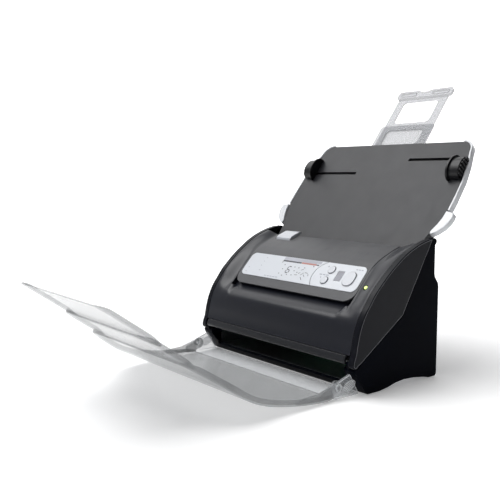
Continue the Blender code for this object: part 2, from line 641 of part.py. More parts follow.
PADF = frame(0, PAD_P.x, PAD_P.y, (1, 0, 0), (0, 0.5203, 0.8540))
upper_cuts.append(cut_box(-37, -13, -8, 37, 13, 8, PADF))
upper = boolean(upper, upper_cuts)
prism("separation_pad", rect(-36, -12, 36, 12, 2.0), 0.9, 4.4, PADF, PAD, 0.4)
box("upper_sensor_glass", -121.4, -8.9, 0.9, 121.4, 8.9, 3.0, GLASS, 0.3, False, SENSOR)
prism("upper_sensor", rect(-124, -10.5, 124, 10.5, 1.5), 3.4, 22.0, SENSOR, SOCKET)


def coil(name, at, radius, wire, z0, z1, turns, mat):
    """Compression spring about local Z, with its wire ends capped."""
    curve = bpy.data.curves.new(name, "CURVE")
    curve.dimensions = "3D"
    curve.bevel_depth = wire
    curve.bevel_resolution = 1
    curve.use_fill_caps = True
    spline = curve.splines.new("POLY")
    n = int(turns * 14)
    spline.points.add(n)
    for i, point in enumerate(spline.points):
        a = 2 * math.pi * turns * i / n
        point.co = (radius * math.cos(a), radius * math.sin(a), z0 + wire + (z1 - z0 - 2 * wire) * i / n, 1)
    temp = bpy.data.objects.new(name + "_curve", curve)
    scene.collection.objects.link(temp)
    bpy.context.view_layer.update()
    mesh = bpy.data.meshes.new_from_object(temp.evaluated_get(bpy.context.evaluated_depsgraph_get()))
    bpy.data.objects.remove(temp, do_unlink=True)
    mesh.transform(at)
    return finish_mesh(link(name, mesh, mat), 40)


coil("pad_spring", PADF, 4.2, 0.45, 4.8, 16.0, 5, STEEL)

# main board, power inlet and data socket behind the rear cover
mb = box("main_board", -124, 58.6, 24.0, 20, 60.2, 112.0, PCB)
mb = boolean(mb, [cut_box(-100, 52.0, 66, -72, 59, 92), cut_box(-50, 54.4, 62, -26, 59, 86),
                  cut_box(-6, 50.0, 40, 6, 59, 96)], "UNION")
BACK = frame(0, 0, 0, (1, 0, 0), (0, 0, 1))
inlet = prism("power_inlet", rect(-103.4, 28.6, -90.6, 40.4, 1.4), -76.2, -61.0, BACK, SOCKET)
inlet = boolean(inlet, [cut_round(-97.0, 34.5, 3.6, -90.0, -64.0, BACK, 20)])
inlet = boolean(inlet, [cut_round(-97.0, 34.5, 1.1, -73.5, -63.0, BACK, 12)], "UNION")
data = prism("data_socket", rect(-71.4, 29.6, -57.6, 40.4, 1.0), -76.2, -61.0, BACK, ZINC)
data = boolean(data, [cut_prism(rect(-70.0, 31.0, -59.0, 39.0, 1.6), -90.0, -64.0, BACK)])
data = boolean(data, [cut_box(-67.4, 33.4, -74.0, -61.6, 36.6, -63.0, BACK)], "UNION")


# ---------------------------------------------------------------- input chute
# right half outline in the chute's own plane, (x, s) with s measured up the slope
CR = [(143.5, -3.0), (143.5, 18.0), (147.0, 28.0), (152.5, 40.0), (155.5, 50.0), (156.8, 62.0), (157.0, 90.0),
      (156.0, 115.0), (151.5, 142.0), (145.5, 164.0)] + arc(127.0, 166.0, 18.0, 5, 88, 6)


def both(line):
    return line + [(-x, s) for x, s in line[::-1]]


def inset(line, d):
    """A closed outline, listed anticlockwise, moved inwards by d."""
    closed_line = [line[-1]] + line + [line[0]]
    return offset_line(closed_line, d)[1:-1]


CHUTE_OUT = both(CR)
RACK_UP, RACK_DOWN = 152.6, 127.4  # middle of each guide's slot
chute = prism("chute_tray", CHUTE_OUT, -14.0, -2.0, CHUTE, TRAY_DARK)
chute_cuts = [cut_prism(inset(CHUTE_OUT, 2.6), -20.0, -4.6, CHUTE)]
chute_cuts.append(cut_prism(rect(46.0, RACK_UP - 2.6, 141.4, RACK_UP + 2.6, 1.2), -8.0, 2.0, CHUTE))
chute_cuts.append(cut_prism(rect(-141.4, RACK_DOWN - 2.6, -46.0, RACK_DOWN + 2.6, 1.2), -8.0, 2.0, CHUTE))
chute_cuts.append(cut_box(-55.0, 170, -12.4, 55.0, 200, -8.2, CHUTE))
chute = boolean(chute, chute_cuts)
chute = boolean(chute, [cut_round(0, 140.0, 2.4, -8.1, -3.6, CHUTE, 16)], "UNION")
back = prism("chute_back_cover", inset(CHUTE_OUT, 3.2), -14.2, -12.8, CHUTE, TRAY_DARK)
back = boolean(back, [cut_prism(rect(-40 + 16 * i, 30, -34 + 16 * i, 62, 2.0), -20, -10, CHUTE) for i in range(6)])
EDGE = CR[4:]
for side, sign in (("left", -1), ("right", 1)):
    strip = band([(156.85, 64.0)] + EDGE[2:], -3.4, -0.5)
    prism("chute_trim_" + side, [(sign * x, s) for x, s in strip], -11.0, -1.2, CHUTE, BRIGHT, 0.8)
    ear = offset_line(CR[1:7], -0.6)[1:5] + [(171.0, 59.0), (172.2, 52.0), (170.5, 44.0), (166.0, 35.0),
                                            (158.5, 27.0), (149.0, 22.6)]
    prism("chute_wing_" + side, [(sign * x, s) for x, s in ear], -8.0, 0.5, CHUTE, BRIGHT, 1.4)

# guides: a D shaped fence, a grip block outside it, a foot through the slot and a rack behind the chute face
MODULE, TEETH = 1.0, 18
PITCH_R = MODULE * TEETH / 2
GUIDE_X = 134.0


def rack_teeth(x0, x1, pitch_line, tip, root):
    """Zigzag of straight-sided rack teeth from x0 to x1, with a space centred on x = 0."""
    p = math.pi * MODULE
    out = []
    k = math.ceil((x0 + p / 2) / p)
    while (k + 0.5) * p + p / 2 < x1:
        c = (k + 0.5) * p
        t = math.tan(math.radians(20))
        half = p / 4 - 0.10
        up, down = abs(tip - pitch_line), abs(root - pitch_line)
        out += [(c - half - down * t, root), (c - half + up * t, tip), (c + half - up * t, tip), (c + half + down * t, root)]
        k += 1
    return out


def half_round(cx, cy, rx, ry):
    """Upper half of an ellipse, from its right end to its left end."""
    return [(cx + rx * math.cos(math.radians(t)), cy + ry * math.sin(math.radians(t))) for t in range(0, 181, 15)]


def paper_guide(side):
    sign = 1 if side == "right" else -1
    slot = RACK_UP if side == "right" else RACK_DOWN
    # everything is drawn for the right guide; the left one is turned about the chute's normal through the pinion
    fence_at = CHUTE @ Matrix(((0, 0, 1, 0), (1, 0, 0, 0), (0, 1, 0, 0), (0, 0, 0, 1)))
    d_shape = [(112.0, -1.4), (154.0, -1.4)] + half_round(133.0, 1.0, 21.0, 15.0)
    fa = GUIDE_X if sign > 0 else -GUIDE_X - 3.0
    obj = prism("paper_guide_" + side, d_shape, fa, fa + 3.0, fence_at, GUIDE_BLACK, 0.6)
    add = []
    xa, xb = (GUIDE_X + 2.0, GUIDE_X + 18.4) if sign > 0 else (-GUIDE_X - 18.4, -GUIDE_X - 2.0)
    add.append(cut_prism([(115.0, -0.4), (151.0, -0.4)] + half_round(133.0, 0.6, 18.0, 12.6), xa, xb, fence_at))
    # upright ribs on the outer face of the grip
    ra, rb = (xb - 1.0, xb + 2.2) if sign > 0 else (xa - 2.2, xa + 1.0)
    for i in range(6):
        c = 120.0 + 5.2 * i
        top_n = 0.6 + 12.6 * math.sqrt(1 - ((c - 133.0) / 18.0) ** 2) - 1.6
        add.append(cut_prism([(c - 1.2, 0.2), (c + 1.2, 0.2), (c + 1.2, top_n), (c - 1.2, top_n)], ra, rb, fence_at))
    fx = (GUIDE_X + 0.2, GUIDE_X + 5.2) if sign > 0 else (-GUIDE_X - 5.2, -GUIDE_X - 0.2)
    add.append(cut_box(fx[0], slot - 2.0, -6.1, fx[1], slot + 2.0, 1.1, CHUTE))
    line = rack_teeth(-96.0, 14.0, 140.0 - PITCH_R, 140.0 - PITCH_R + 0.9, 140.0 - PITCH_R - 1.2)
    rack = [(-GUIDE_X - 5.0, 124.8), (-GUIDE_X - 5.0, 140.0 - PITCH_R - 1.2), (-97.0, 140.0 - PITCH_R - 1.2)] + line + \
        [(line[-1][0], 124.8)]
    # the rack's outline is drawn about the pinion's centre, and turned half a turn for the right guide
    turn = Matrix.Rotation(math.pi if sign > 0 else 0.0, 4, "Z")
    add.append(cut_prism([(x, y - 140.0) for x, y in rack], -7.4, -5.4, CHUTE @ Matrix.Translation((0, 140.0, 0)) @ turn))
    return boolean(obj, add, "UNION")


paper_guide("right")
paper_guide("left")


def involute_gear(teeth, module, backlash, turn):
    """Outline of an involute spur gear with 20 degree flanks; one tooth points along `turn` degrees."""
    rp = module * teeth / 2
    rb = rp * math.cos(math.radians(20))
    ra, rf = rp + 0.9 * module, rp - 1.2 * module
    half = math.pi / (2 * teeth) - backlash / (2 * rp)
    inv = math.tan(math.radians(20)) - math.radians(20)
    flank = []
    for i in range(5):
        r = max(rb, rf) + (ra - max(rb, rf)) * i / 4
        al = math.acos(min(1.0, rb / r))
        flank.append((r, half + inv - (math.tan(al) - al)))
    out = []
    for k in range(teeth):
        c = math.radians(turn) + 2 * math.pi * k / teeth
        out.append((rf * math.cos(c - flank[0][1] - 0.02), rf * math.sin(c - flank[0][1] - 0.02)))
        out += [(r * math.cos(c - a), r * math.sin(c - a)) for r, a in flank]
        out += [(r * math.cos(c + a), r * math.sin(c + a)) for r, a in flank[::-1]]
        out.append((rf * math.cos(c + flank[0][1] + 0.02), rf * math.sin(c + flank[0][1] + 0.02)))
    return out


gear = [(x, y + 140.0) for x, y in involute_gear(TEETH, MODULE, 0.10, 90.0)]
prism("guide_pinion", [gear, circle(0, 140.0, 2.75, 20)], -7.4, -5.4, CHUTE, INNER)

# two-stage paper rest that slides out of the top of the chute
low = prism("rest_lower", rect(-53.0, 70.0, 53.0, 229.0, 5.0), -10.2, -8.6, CHUTE, REST)
low = boolean(low, [cut_prism(rect(-36.0, 190.0, 36.0, 219.0, 6.0), -12, -6, CHUTE)])
up = prism("rest_upper", rect(-49.0, 173.0, 49.0, 292.0, 4.0), -12.1, -10.6, CHUTE, REST)
LOBE = [(-53.0, 288.0), (53.0, 288.0), (53.5, 298.0), (51.0, 302.6), (14.0, 302.4), (5.0, 299.0), (-5.0, 299.0),
        (-14.0, 302.4), (-51.0, 302.6), (-53.5, 298.0)]
up = boolean(up, [cut_prism(rounded(LOBE, 2.5, 3), -12.7, -7.6, CHUTE)], "UNION")
up = boolean(up, [cut_prism(rect(-34.0, 236.0, 34.0, 280.0, 7.0), -15, -6, CHUTE),
                  cut_prism(rect(-47.0, 292.0, -16.0, 298.6, 2.0), -9.6, -4, CHUTE),
                  cut_prism(rect(16.0, 292.0, 47.0, 298.6, 2.0), -9.6, -4, CHUTE)])

# ---------------------------------------------------------------- output tray
RAMP = math.radians(35.0)
FLOOR = [(-106.4, 2.6), (-130.0, 3.2), (-155.0, 5.4), (-180.0, 9.2), (-206.0, 14.8), (-228.0, 22.6), (-243.0, 31.0)]
P0 = FLOOR[-1]


def ramp(t, lift=0.0):
    return (P0[0] - t * math.cos(RAMP) + lift * math.sin(RAMP), P0[1] + t * math.sin(RAMP) + lift * math.cos(RAMP))


def plan(half_pts):
    return half_pts + [(-x, y) for x, y in half_pts[::-1]]


PLANV = frame(0, 0, 0)


def tray_piece(name, floor_line, outline, thick, lip, wall, sides=None):
    """Sheet along a side profile, cut to a plan outline, with a lip that follows the outline's sides."""
    inner = [(x - 0.9, y) for x, y in outline[:-1]] + [(outline[-1][0] - 0.9, outline[-1][1] - 0.4)]
    outline_full = plan(inner)
    sheet = prism(name, band(floor_line, 0.0, thick), -160, 160, SF, CLEAR)
    mod_cut = cut_prism(outline_full, -20, 220, PLANV)
    sheet = boolean(sheet, [mod_cut], "INTERSECT")
    edge = outline[:sides]
    ring_in = offset_line(edge, -wall)
    for sign in (-1, 1):
        ring = edge + ring_in[::-1]
        part = cut_prism(band(floor_line, -lip, thick + 0.3), -160, 160, SF)
        side = cut_prism([(sign * x, y) for x, y in ring], -20, 220, PLANV)
        part = boolean(part, [side], "INTERSECT")
        sheet = boolean(sheet, [part], "UNION")
    return sheet


# the floor line runs forwards, so its left side is the underside
T1_END = 66.0
plan1 = [(150.3, -106.0), (150.3, -216.0), (148.0, -240.0), (141.5, -262.0), (130.0, -281.0), (112.0, -296.0)]
tray = tray_piece("output_tray", FLOOR + [ramp(T1_END)], plan1, 2.2, 6.0, 2.6)
PX, PY = TRAY_PIVOT
R_KEEP = 11.0
# side walls of the tray behind the flat floor, cut round the arms, with an ear inside each arm
WALL_SIDE = arc(PX, PY, R_KEEP + 0.6, 163, 236, 8) + [(-106.6, 1.4), (-170.0, 5.8), (-168.0, 12.0), (-161.0, 12.4),
                                                     (-131.0, 13.4)]
EAR_SIDE = arc(PX, PY, 8.0, 100, 290, 12) + [(-104.0, 6.0), (-112.0, 3.0), (-124.0, 3.6), (-124.0, 12.0),
                                            (-112.0, 17.0), (-104.0, 22.6)]
EAR_SIDE = [(-124.0, 3.6), (-124.0, 12.0), (-112.0, 17.4)] + arc(PX, PY, 8.0, 120, -100, 14) + [(-108.0, 3.0)]
extra = []
for sign in (-1, 1):
    extra.append(cut_prism(WALL_SIDE, *sorted((147.0 * sign, 150.1 * sign)), SF))
    extra.append(cut_prism(EAR_SIDE, *sorted((144.2 * sign, 147.3 * sign)), SF))
tray = boolean(tray, extra, "UNION")
tray = boolean(tray, [cut_round(PX, PY, 3.4, 140 * s - 10, 140 * s + 10, SF, 24) for s in (-1, 1)])
# clearance for the arms in the corners of the floor
tray = boolean(tray, [cut_prism([(-111.6, -3), (-100.0, -3), (-100.0, 30), (-111.6, 30)],
                                *sorted((147.4 * s, 156 * s)), SF) for s in (-1, 1)])

ARM = [(-65.4, 1.0), (-79.9, 26.4), (-81.4, 28.2), (-104.0, 20.6)] + arc(PX, PY, R_KEEP, 158, 236, 8) + [(-106.0, 1.0)]
arms = box("tray_arms", -150.0, -105.8, 0.8, 150.0, -67.4, 2.8, CLEAR)
parts_ = []
for sign in (-1, 1):
    parts_.append(cut_prism(ARM, *sorted((147.6 * sign, 150.4 * sign)), SF))
    parts_.append(cut_round(PX, PY, 3.0, *sorted((143.6 * sign, 148.6 * sign)), SF, 20))
    ring_at = sorted((149.4 * sign, 151.6 * sign))
    parts_.append(cut_prism([circle(PX, PY, 4.6, 24), circle(PX, PY, 2.4, 16)], *ring_at, SF))
    grip_line = [(-79.6 + 11.0 * math.cos(a) * math.cos(0.32) + 5.6 * math.sin(a) * math.sin(0.32) - 3.0,
                  14.2 - 11.0 * math.cos(a) * math.sin(-0.32) * -1 + 5.6 * math.sin(a) * math.cos(0.32))
                 for a in [2 * math.pi * i / 20 for i in range(20)]]
    parts_.append(cut_prism(grip_line, *sorted((149.6 * sign, 151.2 * sign)), SF))
arms = boolean(arms, parts_, "UNION")

# two telescoping extensions lie on top of one another up the ramp
E1 = [ramp(t, 2.9) for t in (46.0, 121.0)]
E2 = [ramp(t, 5.8) for t in (96.0, 186.0)]
e1_end, e2_end = E1[1][0], E2[1][0]
plan2 = [(108.0, E1[0][0]), (108.0, e1_end + 26), (105.0, e1_end + 12), (97.0, e1_end + 3.0), (84.0, e1_end)]
plan3 = [(104.0, E2[0][0]), (104.0, e2_end + 26), (103.2, e2_end + 6), (100.0, e2_end + 1.0), (96.0, e2_end)]
tray_piece("tray_extension_1", [ramp(40.0, 2.9), ramp(126.0, 2.9)], plan2, 2.2, 6.0, 2.4, 2)
tray_piece("tray_extension_2", [ramp(90.0, 5.8), ramp(192.0, 5.8)], plan3, 2.2, 6.0, 2.2, 2)


# ---------------------------------------------------------------- joint axes: each moving group hangs on an empty
def hang(name, point, nodes):
    """An empty on the joint's axis, at a point of the body frame, that carries these parts."""
    empty = bpy.data.objects.new(name, None)
    empty.empty_display_size = 0.01
    empty.location = Vector((point[0], point[1] + Y_SHIFT, point[2])) * 0.001
    PARTS.objects.link(empty)
    bpy.context.view_layer.update()
    for node in nodes:
        child = bpy.data.objects[node]
        child.parent = empty
        child.matrix_parent_inverse = empty.matrix_world.inverted()
    return empty


def on_slope(at, x, y, z=0.0):
    """A point of a sloped frame, in the body frame."""
    p = (at @ Vector((x, y, z))) * 1000
    return (p.x, p.y - Y_SHIFT, p.z)


cover_pivot = hang("cover_pivot", (0, *HINGE), [
    "front_panel", "top_cover", "lip_band", "cover_cheek_left", "cover_cheek_right", "control_panel",
    "display_window", "status_lamp", "control_board", "upper_guide_plate", "upper_sensor",
    "upper_sensor_glass", "separation_pad", "pad_spring",
])
lever_pivot = hang("lever_pivot", (-97, *LEVER_HINGE), ["release_lever"])
feed_pivot = hang("feed_pivot", (0, *AXES["feed"]), ["feed_shaft", "feed_roller"])
pick_pivot = hang("pick_pivot", (0, *AXES["pick"]), ["pick_shaft", "pick_roller"])
exit_pivot = hang("exit_pivot", (0, *AXES["exit"]), ["exit_shaft", "exit_roller"])
motor_pivot = hang("motor_pivot", (0, *MOTOR), ["motor_pulley"])
feed_idler_pivot = hang("feed_idler_pivot", (0, *IDLERS["feed"]), ["feed_idler"])
exit_idler_pivot = hang("exit_idler_pivot", (0, *IDLERS["exit"]), ["exit_idler"])
tray_pivot = hang("tray_pivot", (0, *TRAY_PIVOT), ["output_tray"])
pinion_pivot = hang("pinion_pivot", on_slope(CHUTE, 0, 140.0), ["guide_pinion"])
for button in ("up_button", "down_button", "scan_button"):
    middle = sum((Vector(c) for c in bpy.data.objects[button].bound_box), Vector()) * 125
    key_axis = hang(button + "_axis", (middle.x, middle.y - Y_SHIFT, middle.z), [button])
    key_axis.parent = cover_pivot
    key_axis.matrix_parent_inverse = cover_pivot.matrix_world.inverted()
for empty in (lever_pivot, feed_idler_pivot, exit_idler_pivot):
    empty.parent = cover_pivot
    empty.matrix_parent_inverse = cover_pivot.matrix_world.inverted()
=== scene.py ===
"""Looks of the sheet fed document scanner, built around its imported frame."""

import json
import math

import bmesh
import bpy
from mathutils import Matrix, Vector


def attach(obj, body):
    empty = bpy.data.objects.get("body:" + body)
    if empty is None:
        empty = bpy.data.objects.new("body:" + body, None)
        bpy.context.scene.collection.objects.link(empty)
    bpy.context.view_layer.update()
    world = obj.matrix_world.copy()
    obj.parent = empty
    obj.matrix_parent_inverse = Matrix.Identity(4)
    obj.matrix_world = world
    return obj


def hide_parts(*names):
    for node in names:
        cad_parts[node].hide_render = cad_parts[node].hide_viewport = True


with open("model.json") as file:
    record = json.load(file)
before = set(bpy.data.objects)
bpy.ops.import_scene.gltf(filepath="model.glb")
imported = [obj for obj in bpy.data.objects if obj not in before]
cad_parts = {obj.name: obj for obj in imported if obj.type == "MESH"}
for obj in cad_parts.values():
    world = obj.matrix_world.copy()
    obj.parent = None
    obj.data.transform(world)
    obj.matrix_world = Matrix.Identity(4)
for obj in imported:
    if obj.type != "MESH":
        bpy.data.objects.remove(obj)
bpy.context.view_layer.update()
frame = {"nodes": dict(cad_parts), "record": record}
NODES = frame["nodes"]
BODY_OF = {n: b for b, ns in frame["record"]["behaviour"]["bodies"].items() for n in ns}
SLOT_OF = {s["node"]: s["material_slot"] for s in frame["record"]["subparts"]}
Y_SHIFT = 70.5157  # mm; the housing's frame moved so that the outer box is centred


# ---------------------------------------------------------------- frames in mm, as in the CAD
def plane(x=0.0, y=0.0, z=0.0, right=(1, 0, 0), up=(0, 1, 0)):
    a = Vector(right).normalized()
    b = Vector(up).normalized()
    m = Matrix((a, b, a.cross(b))).transposed().to_4x4()
    m.translation = Vector((x, y + Y_SHIFT, z)) * 0.001
    return m @ Matrix.Scale(0.001, 4)


def slope(angle, x, y, z):
    a = math.radians(angle)
    return plane(x, y, z, (1, 0, 0), (0, math.cos(a), math.sin(a)))


SF = plane(0, 0, 0, (0, 1, 0), (0, 0, 1))  # local X is back, local Y is up, local Z is across
PANEL = slope(47.0, 0, -29.0, 133.5)
FLAT = plane()


# ---------------------------------------------------------------- node helpers
class Net:
    """Short hand for a material's node tree."""

    def __init__(self, name):
        self.mat = bpy.data.materials.new(name)
        self.mat.use_nodes = True
        self.t = self.mat.node_tree
        self.p = self.t.nodes["Principled BSDF"]

    def n(self, kind, **kw):
        node = self.t.nodes.new("ShaderNode" + kind)
        for k, v in kw.items():
            if hasattr(node, k):
                setattr(node, k, v)
            else:
                node.inputs[k.replace("_", " ")].default_value = v
        return node

    def link(self, a, b):
        self.t.links.new(a, b)

    def set(self, **kw):
        for k, v in kw.items():
            self.p.inputs[k.replace("_", " ")].default_value = v

    def coord(self, scale=(1, 1, 1)):
        c = self.n("TexCoord")
        m = self.n("Mapping")
        m.inputs["Scale"].default_value = scale
        self.link(c.outputs["Object"], m.inputs["Vector"])
        return m.outputs["Vector"]

    def noise(self, scale, detail=4.0, rough=0.5, at=None):
        t = self.n("TexNoise")
        t.inputs["Scale"].default_value = scale
        t.inputs["Detail"].default_value = detail
        t.inputs["Roughness"].default_value = rough
        self.link(at or self.coord(), t.inputs["Vector"])
        return t.outputs["Fac"]

    def ramp(self, fac, stops):
        r = self.n("ValToRGB")
        e = r.color_ramp.elements
        while len(e) < len(stops):
            e.new(0.5)
        for el, (pos, c) in zip(e, stops):
            el.position = pos
            el.color = (*c, 1.0) if len(c) == 3 else c
        self.link(fac, r.inputs["Fac"])
        return r.outputs["Color"]

    def span(self, fac, a, b, lo=0.0, hi=1.0):
        m = self.n("MapRange")
        m.inputs["From Min"].default_value = lo
        m.inputs["From Max"].default_value = hi
        m.inputs["To Min"].default_value = a
        m.inputs["To Max"].default_value = b
        self.link(fac, m.inputs["Value"])
        return m.outputs["Result"]

    def math(self, op, a, b=None):
        m = self.n("Math", operation=op)
        for i, v in enumerate((a, b)):
            if v is None:
                continue
            if isinstance(v, (int, float)):
                m.inputs[i].default_value = v
            else:
                self.link(v, m.inputs[i])
        return m.outputs[0]

    def mix(self, fac, a, b):
        m = self.n("Mix", data_type="RGBA")
        for sock, v in ((m.inputs[0], fac), (m.inputs[6], a), (m.inputs[7], b)):
            if isinstance(v, (int, float)):
                sock.default_value = v
            elif isinstance(v, tuple):
                sock.default_value = (*v, 1.0)
            else:
                self.link(v, sock)
        return m.outputs[2]

    def bump(self, height, strength, distance=0.0003, after=None):
        b = self.n("Bump")
        b.inputs["Strength"].default_value = strength
        b.inputs["Distance"].default_value = distance
        self.link(height, b.inputs["Height"])
        if after is not None:
            self.link(after, b.inputs["Normal"])
        self.link(b.outputs["Normal"], self.p.inputs["Normal"])
        return b.outputs["Normal"]


def shade(c, k):
    return tuple(min(1.0, v * k) for v in c)


def plastic(name, colour, rough, grain=2600.0, bump=0.25, vary=0.10, coat=0.0, edge=0.35, spread=0.05,
            spec=0.5,
            distance=0.00005):
    """Moulded plastic: fine spark-eroded grain, slow colour drift, edges lighter where rubbed and as a painted
    highlight, faint dust.
    """
    t = Net(name)
    grain_f = t.noise(grain, 3.0, 0.6)
    slow = t.noise(14.0, 4.0, 0.55)
    smear = t.noise(55.0, 6.0, 0.65, t.coord((1.0, 0.35, 1.0)))
    base = t.mix(t.span(slow, 0.0, 1.0, 0.35, 0.65), shade(colour, 1 - vary), shade(colour, 1 + vary))
    # edges lighter by pointiness: partly rubbed wear, partly a painted highlight standing in for light caught by the
    # rims
    if edge:
        geo = t.n("NewGeometry")
        wear_and_highlight = t.math("MULTIPLY", t.span(geo.outputs["Pointiness"], 0.0, 1.0, 0.52, 0.60),
                      t.span(t.noise(220.0, 3.0), 0.2, 1.0, 0.40, 0.62))
        light = tuple(min(1.0, v + 0.10 + v * 0.6) for v in colour)
        base = t.mix(t.math("MULTIPLY", wear_and_highlight, edge), base, light)
    t.link(base, t.p.inputs["Base Color"])
    t.link(t.span(t.math("ADD", t.math("MULTIPLY", smear, 0.7), t.math("MULTIPLY", grain_f, 0.3)),
                  max(0.02, rough - spread), rough + spread, 0.3, 0.7), t.p.inputs["Roughness"])
    t.bump(grain_f, bump, distance)
    t.set(Coat_Weight=coat, Coat_Roughness=0.12, Specular_IOR_Level=spec)
    return t.mat


def brushed(name, colour, rough, along=(1, 60, 60), bump=0.2):
    t = Net(name)
    v = t.coord(along)
    lines = t.noise(180.0, 5.0, 0.7, v)
    t.link(t.ramp(lines, [(0.3, shade(colour, 0.82)), (0.7, shade(colour, 1.1))]), t.p.inputs["Base Color"])
    t.link(t.span(lines, rough - 0.07, rough + 0.1, 0.3, 0.7), t.p.inputs["Roughness"])
    t.bump(lines, bump, 0.00005)
    t.set(Metallic=1.0)
    return t.mat


def rubber(name, colour, rough=0.8, grain=900.0):
    t = Net(name)
    f = t.noise(grain, 5.0, 0.6)
    t.link(t.ramp(f, [(0.3, shade(colour, 0.75)), (0.7, shade(colour, 1.35))]), t.p.inputs["Base Color"])
    t.link(t.span(f, rough - 0.08, rough + 0.08, 0.3, 0.7), t.p.inputs["Roughness"])
    t.bump(f, 0.5, 0.0001)
    t.set(Specular_IOR_Level=0.3)
    return t.mat


def clear(name, tint, rough, weight, ior=1.49):
    """Clear moulded plastic: faint flow lines and fine scratches in its roughness, and a little milkiness."""
    t = Net(name)
    scratch = t.noise(900.0, 6.0, 0.75, t.coord((0.15, 1.0, 1.0)))
    flow = t.noise(9.0, 3.0, 0.5)
    t.link(t.mix(t.span(flow, 0.0, 1.0, 0.35, 0.65), shade(tint, 0.965), tint), t.p.inputs["Base Color"])
    t.link(t.span(scratch, rough * 0.6, rough * 1.5, 0.35, 0.65), t.p.inputs["Roughness"])
    t.bump(flow, 0.08, 0.0006)
    t.set(Transmission_Weight=weight, IOR=ior, Coat_Weight=0.15, Coat_Roughness=0.05)
    return t.mat


def frosted(name, tint, rough, alpha, ior=1.49):
    """Thin milky sheet that lets most light through: soft mottling and fine scratches."""
    t = Net(name)
    scratch = t.noise(700.0, 6.0, 0.75, t.coord((1.0, 0.12, 1.0)))
    cloud = t.noise(6.0, 3.0, 0.5)
    t.link(t.mix(t.span(cloud, 0.0, 1.0, 0.35, 0.65), shade(tint, 0.97), tint), t.p.inputs["Base Color"])
    t.link(t.span(scratch, rough * 0.92, rough * 1.1, 0.35, 0.65), t.p.inputs["Roughness"])
    t.bump(cloud, 0.05, 0.0004)
    t.set(Alpha=alpha, IOR=ior)
    return t.mat


MAT = {
    "case_black": plastic("case_black", (0.0012, 0.0018, 0.0042), 0.45, 2400, 0.10, 0.15, 0.0, 0.0, 0.04,
                          0.02),
    "cover_black": plastic("cover_black", (0.0092, 0.0102, 0.0158), 0.29, 2200, 0.05, 0.03, 0.05, 0.0,
                           0.012, 0.26),
    "cheek_black": plastic("cheek_black", (0.0038, 0.0044, 0.0076), 0.32, 2600, 0.05, 0.08, 0.02, 0.0,
                           0.02, 0.10),
    # painted light: cover_grey is a lighter copy of the dark cover plastic for the lit top shell; cover_black on the
    # front shell is the shaded copy
    "cover_grey": plastic("cover_grey", (0.052, 0.053, 0.058), 0.42, 2800, 0.25, 0.06, 0.0, 0.0, 0.05, 0.32),
    "lip_grey": plastic("lip_grey", (0.0130, 0.0138, 0.0170), 0.34, 2600, 0.15, 0.1, 0.0, 0.0, 0.04, 0.28),
    "panel_silver": plastic("panel_silver", (0.56, 0.585, 0.625), 0.34, 5200, 0.08, 0.02, 0.15, 0.0, 0.04,
                            0.5, 0.00002),
    "trim_silver": plastic("trim_silver", (0.63, 0.645, 0.67), 0.28, 3600, 0.08, 0.04, 0.35, 0.1),
    "key_grey": plastic("key_grey", (0.50, 0.52, 0.56), 0.30, 4200, 0.08, 0.03, 0.2, 0.1),
    "display_grey": plastic("display_grey", (0.17, 0.175, 0.21), 0.22, 1200, 0.02, 0.05, 0.15, 0.0, 0.04,
                            0.3),
    "lamp_green": plastic("lamp_green", (0.55, 0.80, 0.12), 0.18, 1200, 0.02, 0.05, 0.6, 0.0),
    "chute_grey": plastic("chute_grey", (0.0190, 0.0197, 0.0230), 0.42, 2600, 0.25, 0.12, 0.0, 0.0, 0.05,
                          0.3),
    "guide_black": plastic("guide_black", (0.0050, 0.0052, 0.0062), 0.34, 2400, 0.15, 0.12, 0.05, 0.0,
                           0.05, 0.3),
    "tray_clear": frosted("tray_clear", (0.34, 0.352, 0.36), 0.2, 0.46),
    "arm_clear": frosted("arm_clear", (0.50, 0.52, 0.54), 0.14, 0.34),
    "rest_smoke": frosted("rest_smoke", (0.20, 0.21, 0.235), 0.16, 0.50),
    "steel": brushed("steel", (0.58, 0.58, 0.60), 0.26),
    "zinc_sheet": brushed("zinc_sheet", (0.50, 0.51, 0.54), 0.38, (20, 20, 20), 0.1),
    "rubber": rubber("rubber", (0.020, 0.020, 0.022)),
    "roller_rubber": rubber("roller_rubber", (0.085, 0.095, 0.115), 0.72, 700),
    "inner_grey": plastic("inner_grey", (0.12, 0.125, 0.135), 0.5, 2000, 0.3, 0.1, 0.0, 0.2),
    "sensor_glass": clear("sensor_glass", (0.80, 0.90, 0.90), 0.02, 0.9, 1.52),
    "board_green": plastic("board_green", (0.015, 0.13, 0.055), 0.42, 900, 0.25, 0.2, 0.3, 0.0),
    "socket_black": plastic("socket_black", (0.014, 0.014, 0.015), 0.5, 2000, 0.3, 0.12, 0.0, 0.3),
    "pad_cork": rubber("pad_cork", (0.26, 0.12, 0.055), 0.85, 500),
}
lamp = MAT["lamp_green"].node_tree.nodes["Principled BSDF"]
lamp.inputs["Emission Color"].default_value = (0.65, 1.0, 0.12, 1)
lamp.inputs["Emission Strength"].default_value = 0.8


# ---------------------------------------------------------------- mesh helpers
def add(name, mesh, body, slot_name, mat=None, stands_for=()):
    obj = bpy.data.objects.new(name, mesh)
    bpy.context.scene.collection.objects.link(obj)
    mesh.materials.clear()
    mesh.materials.append(mat or MAT[slot_name])
    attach(obj, body)
    if stands_for:
        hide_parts(*stands_for)
    return obj


def clean(bm, merge=1e-6, flat=0.25):
    bmesh.ops.remove_doubles(bm, verts=bm.verts, dist=merge)
    bmesh.ops.dissolve_limit(bm, angle_limit=math.radians(flat), verts=bm.verts, edges=bm.edges,
                             delimit={"NORMAL"})
    bmesh.ops.recalc_face_normals(bm, faces=bm.faces)


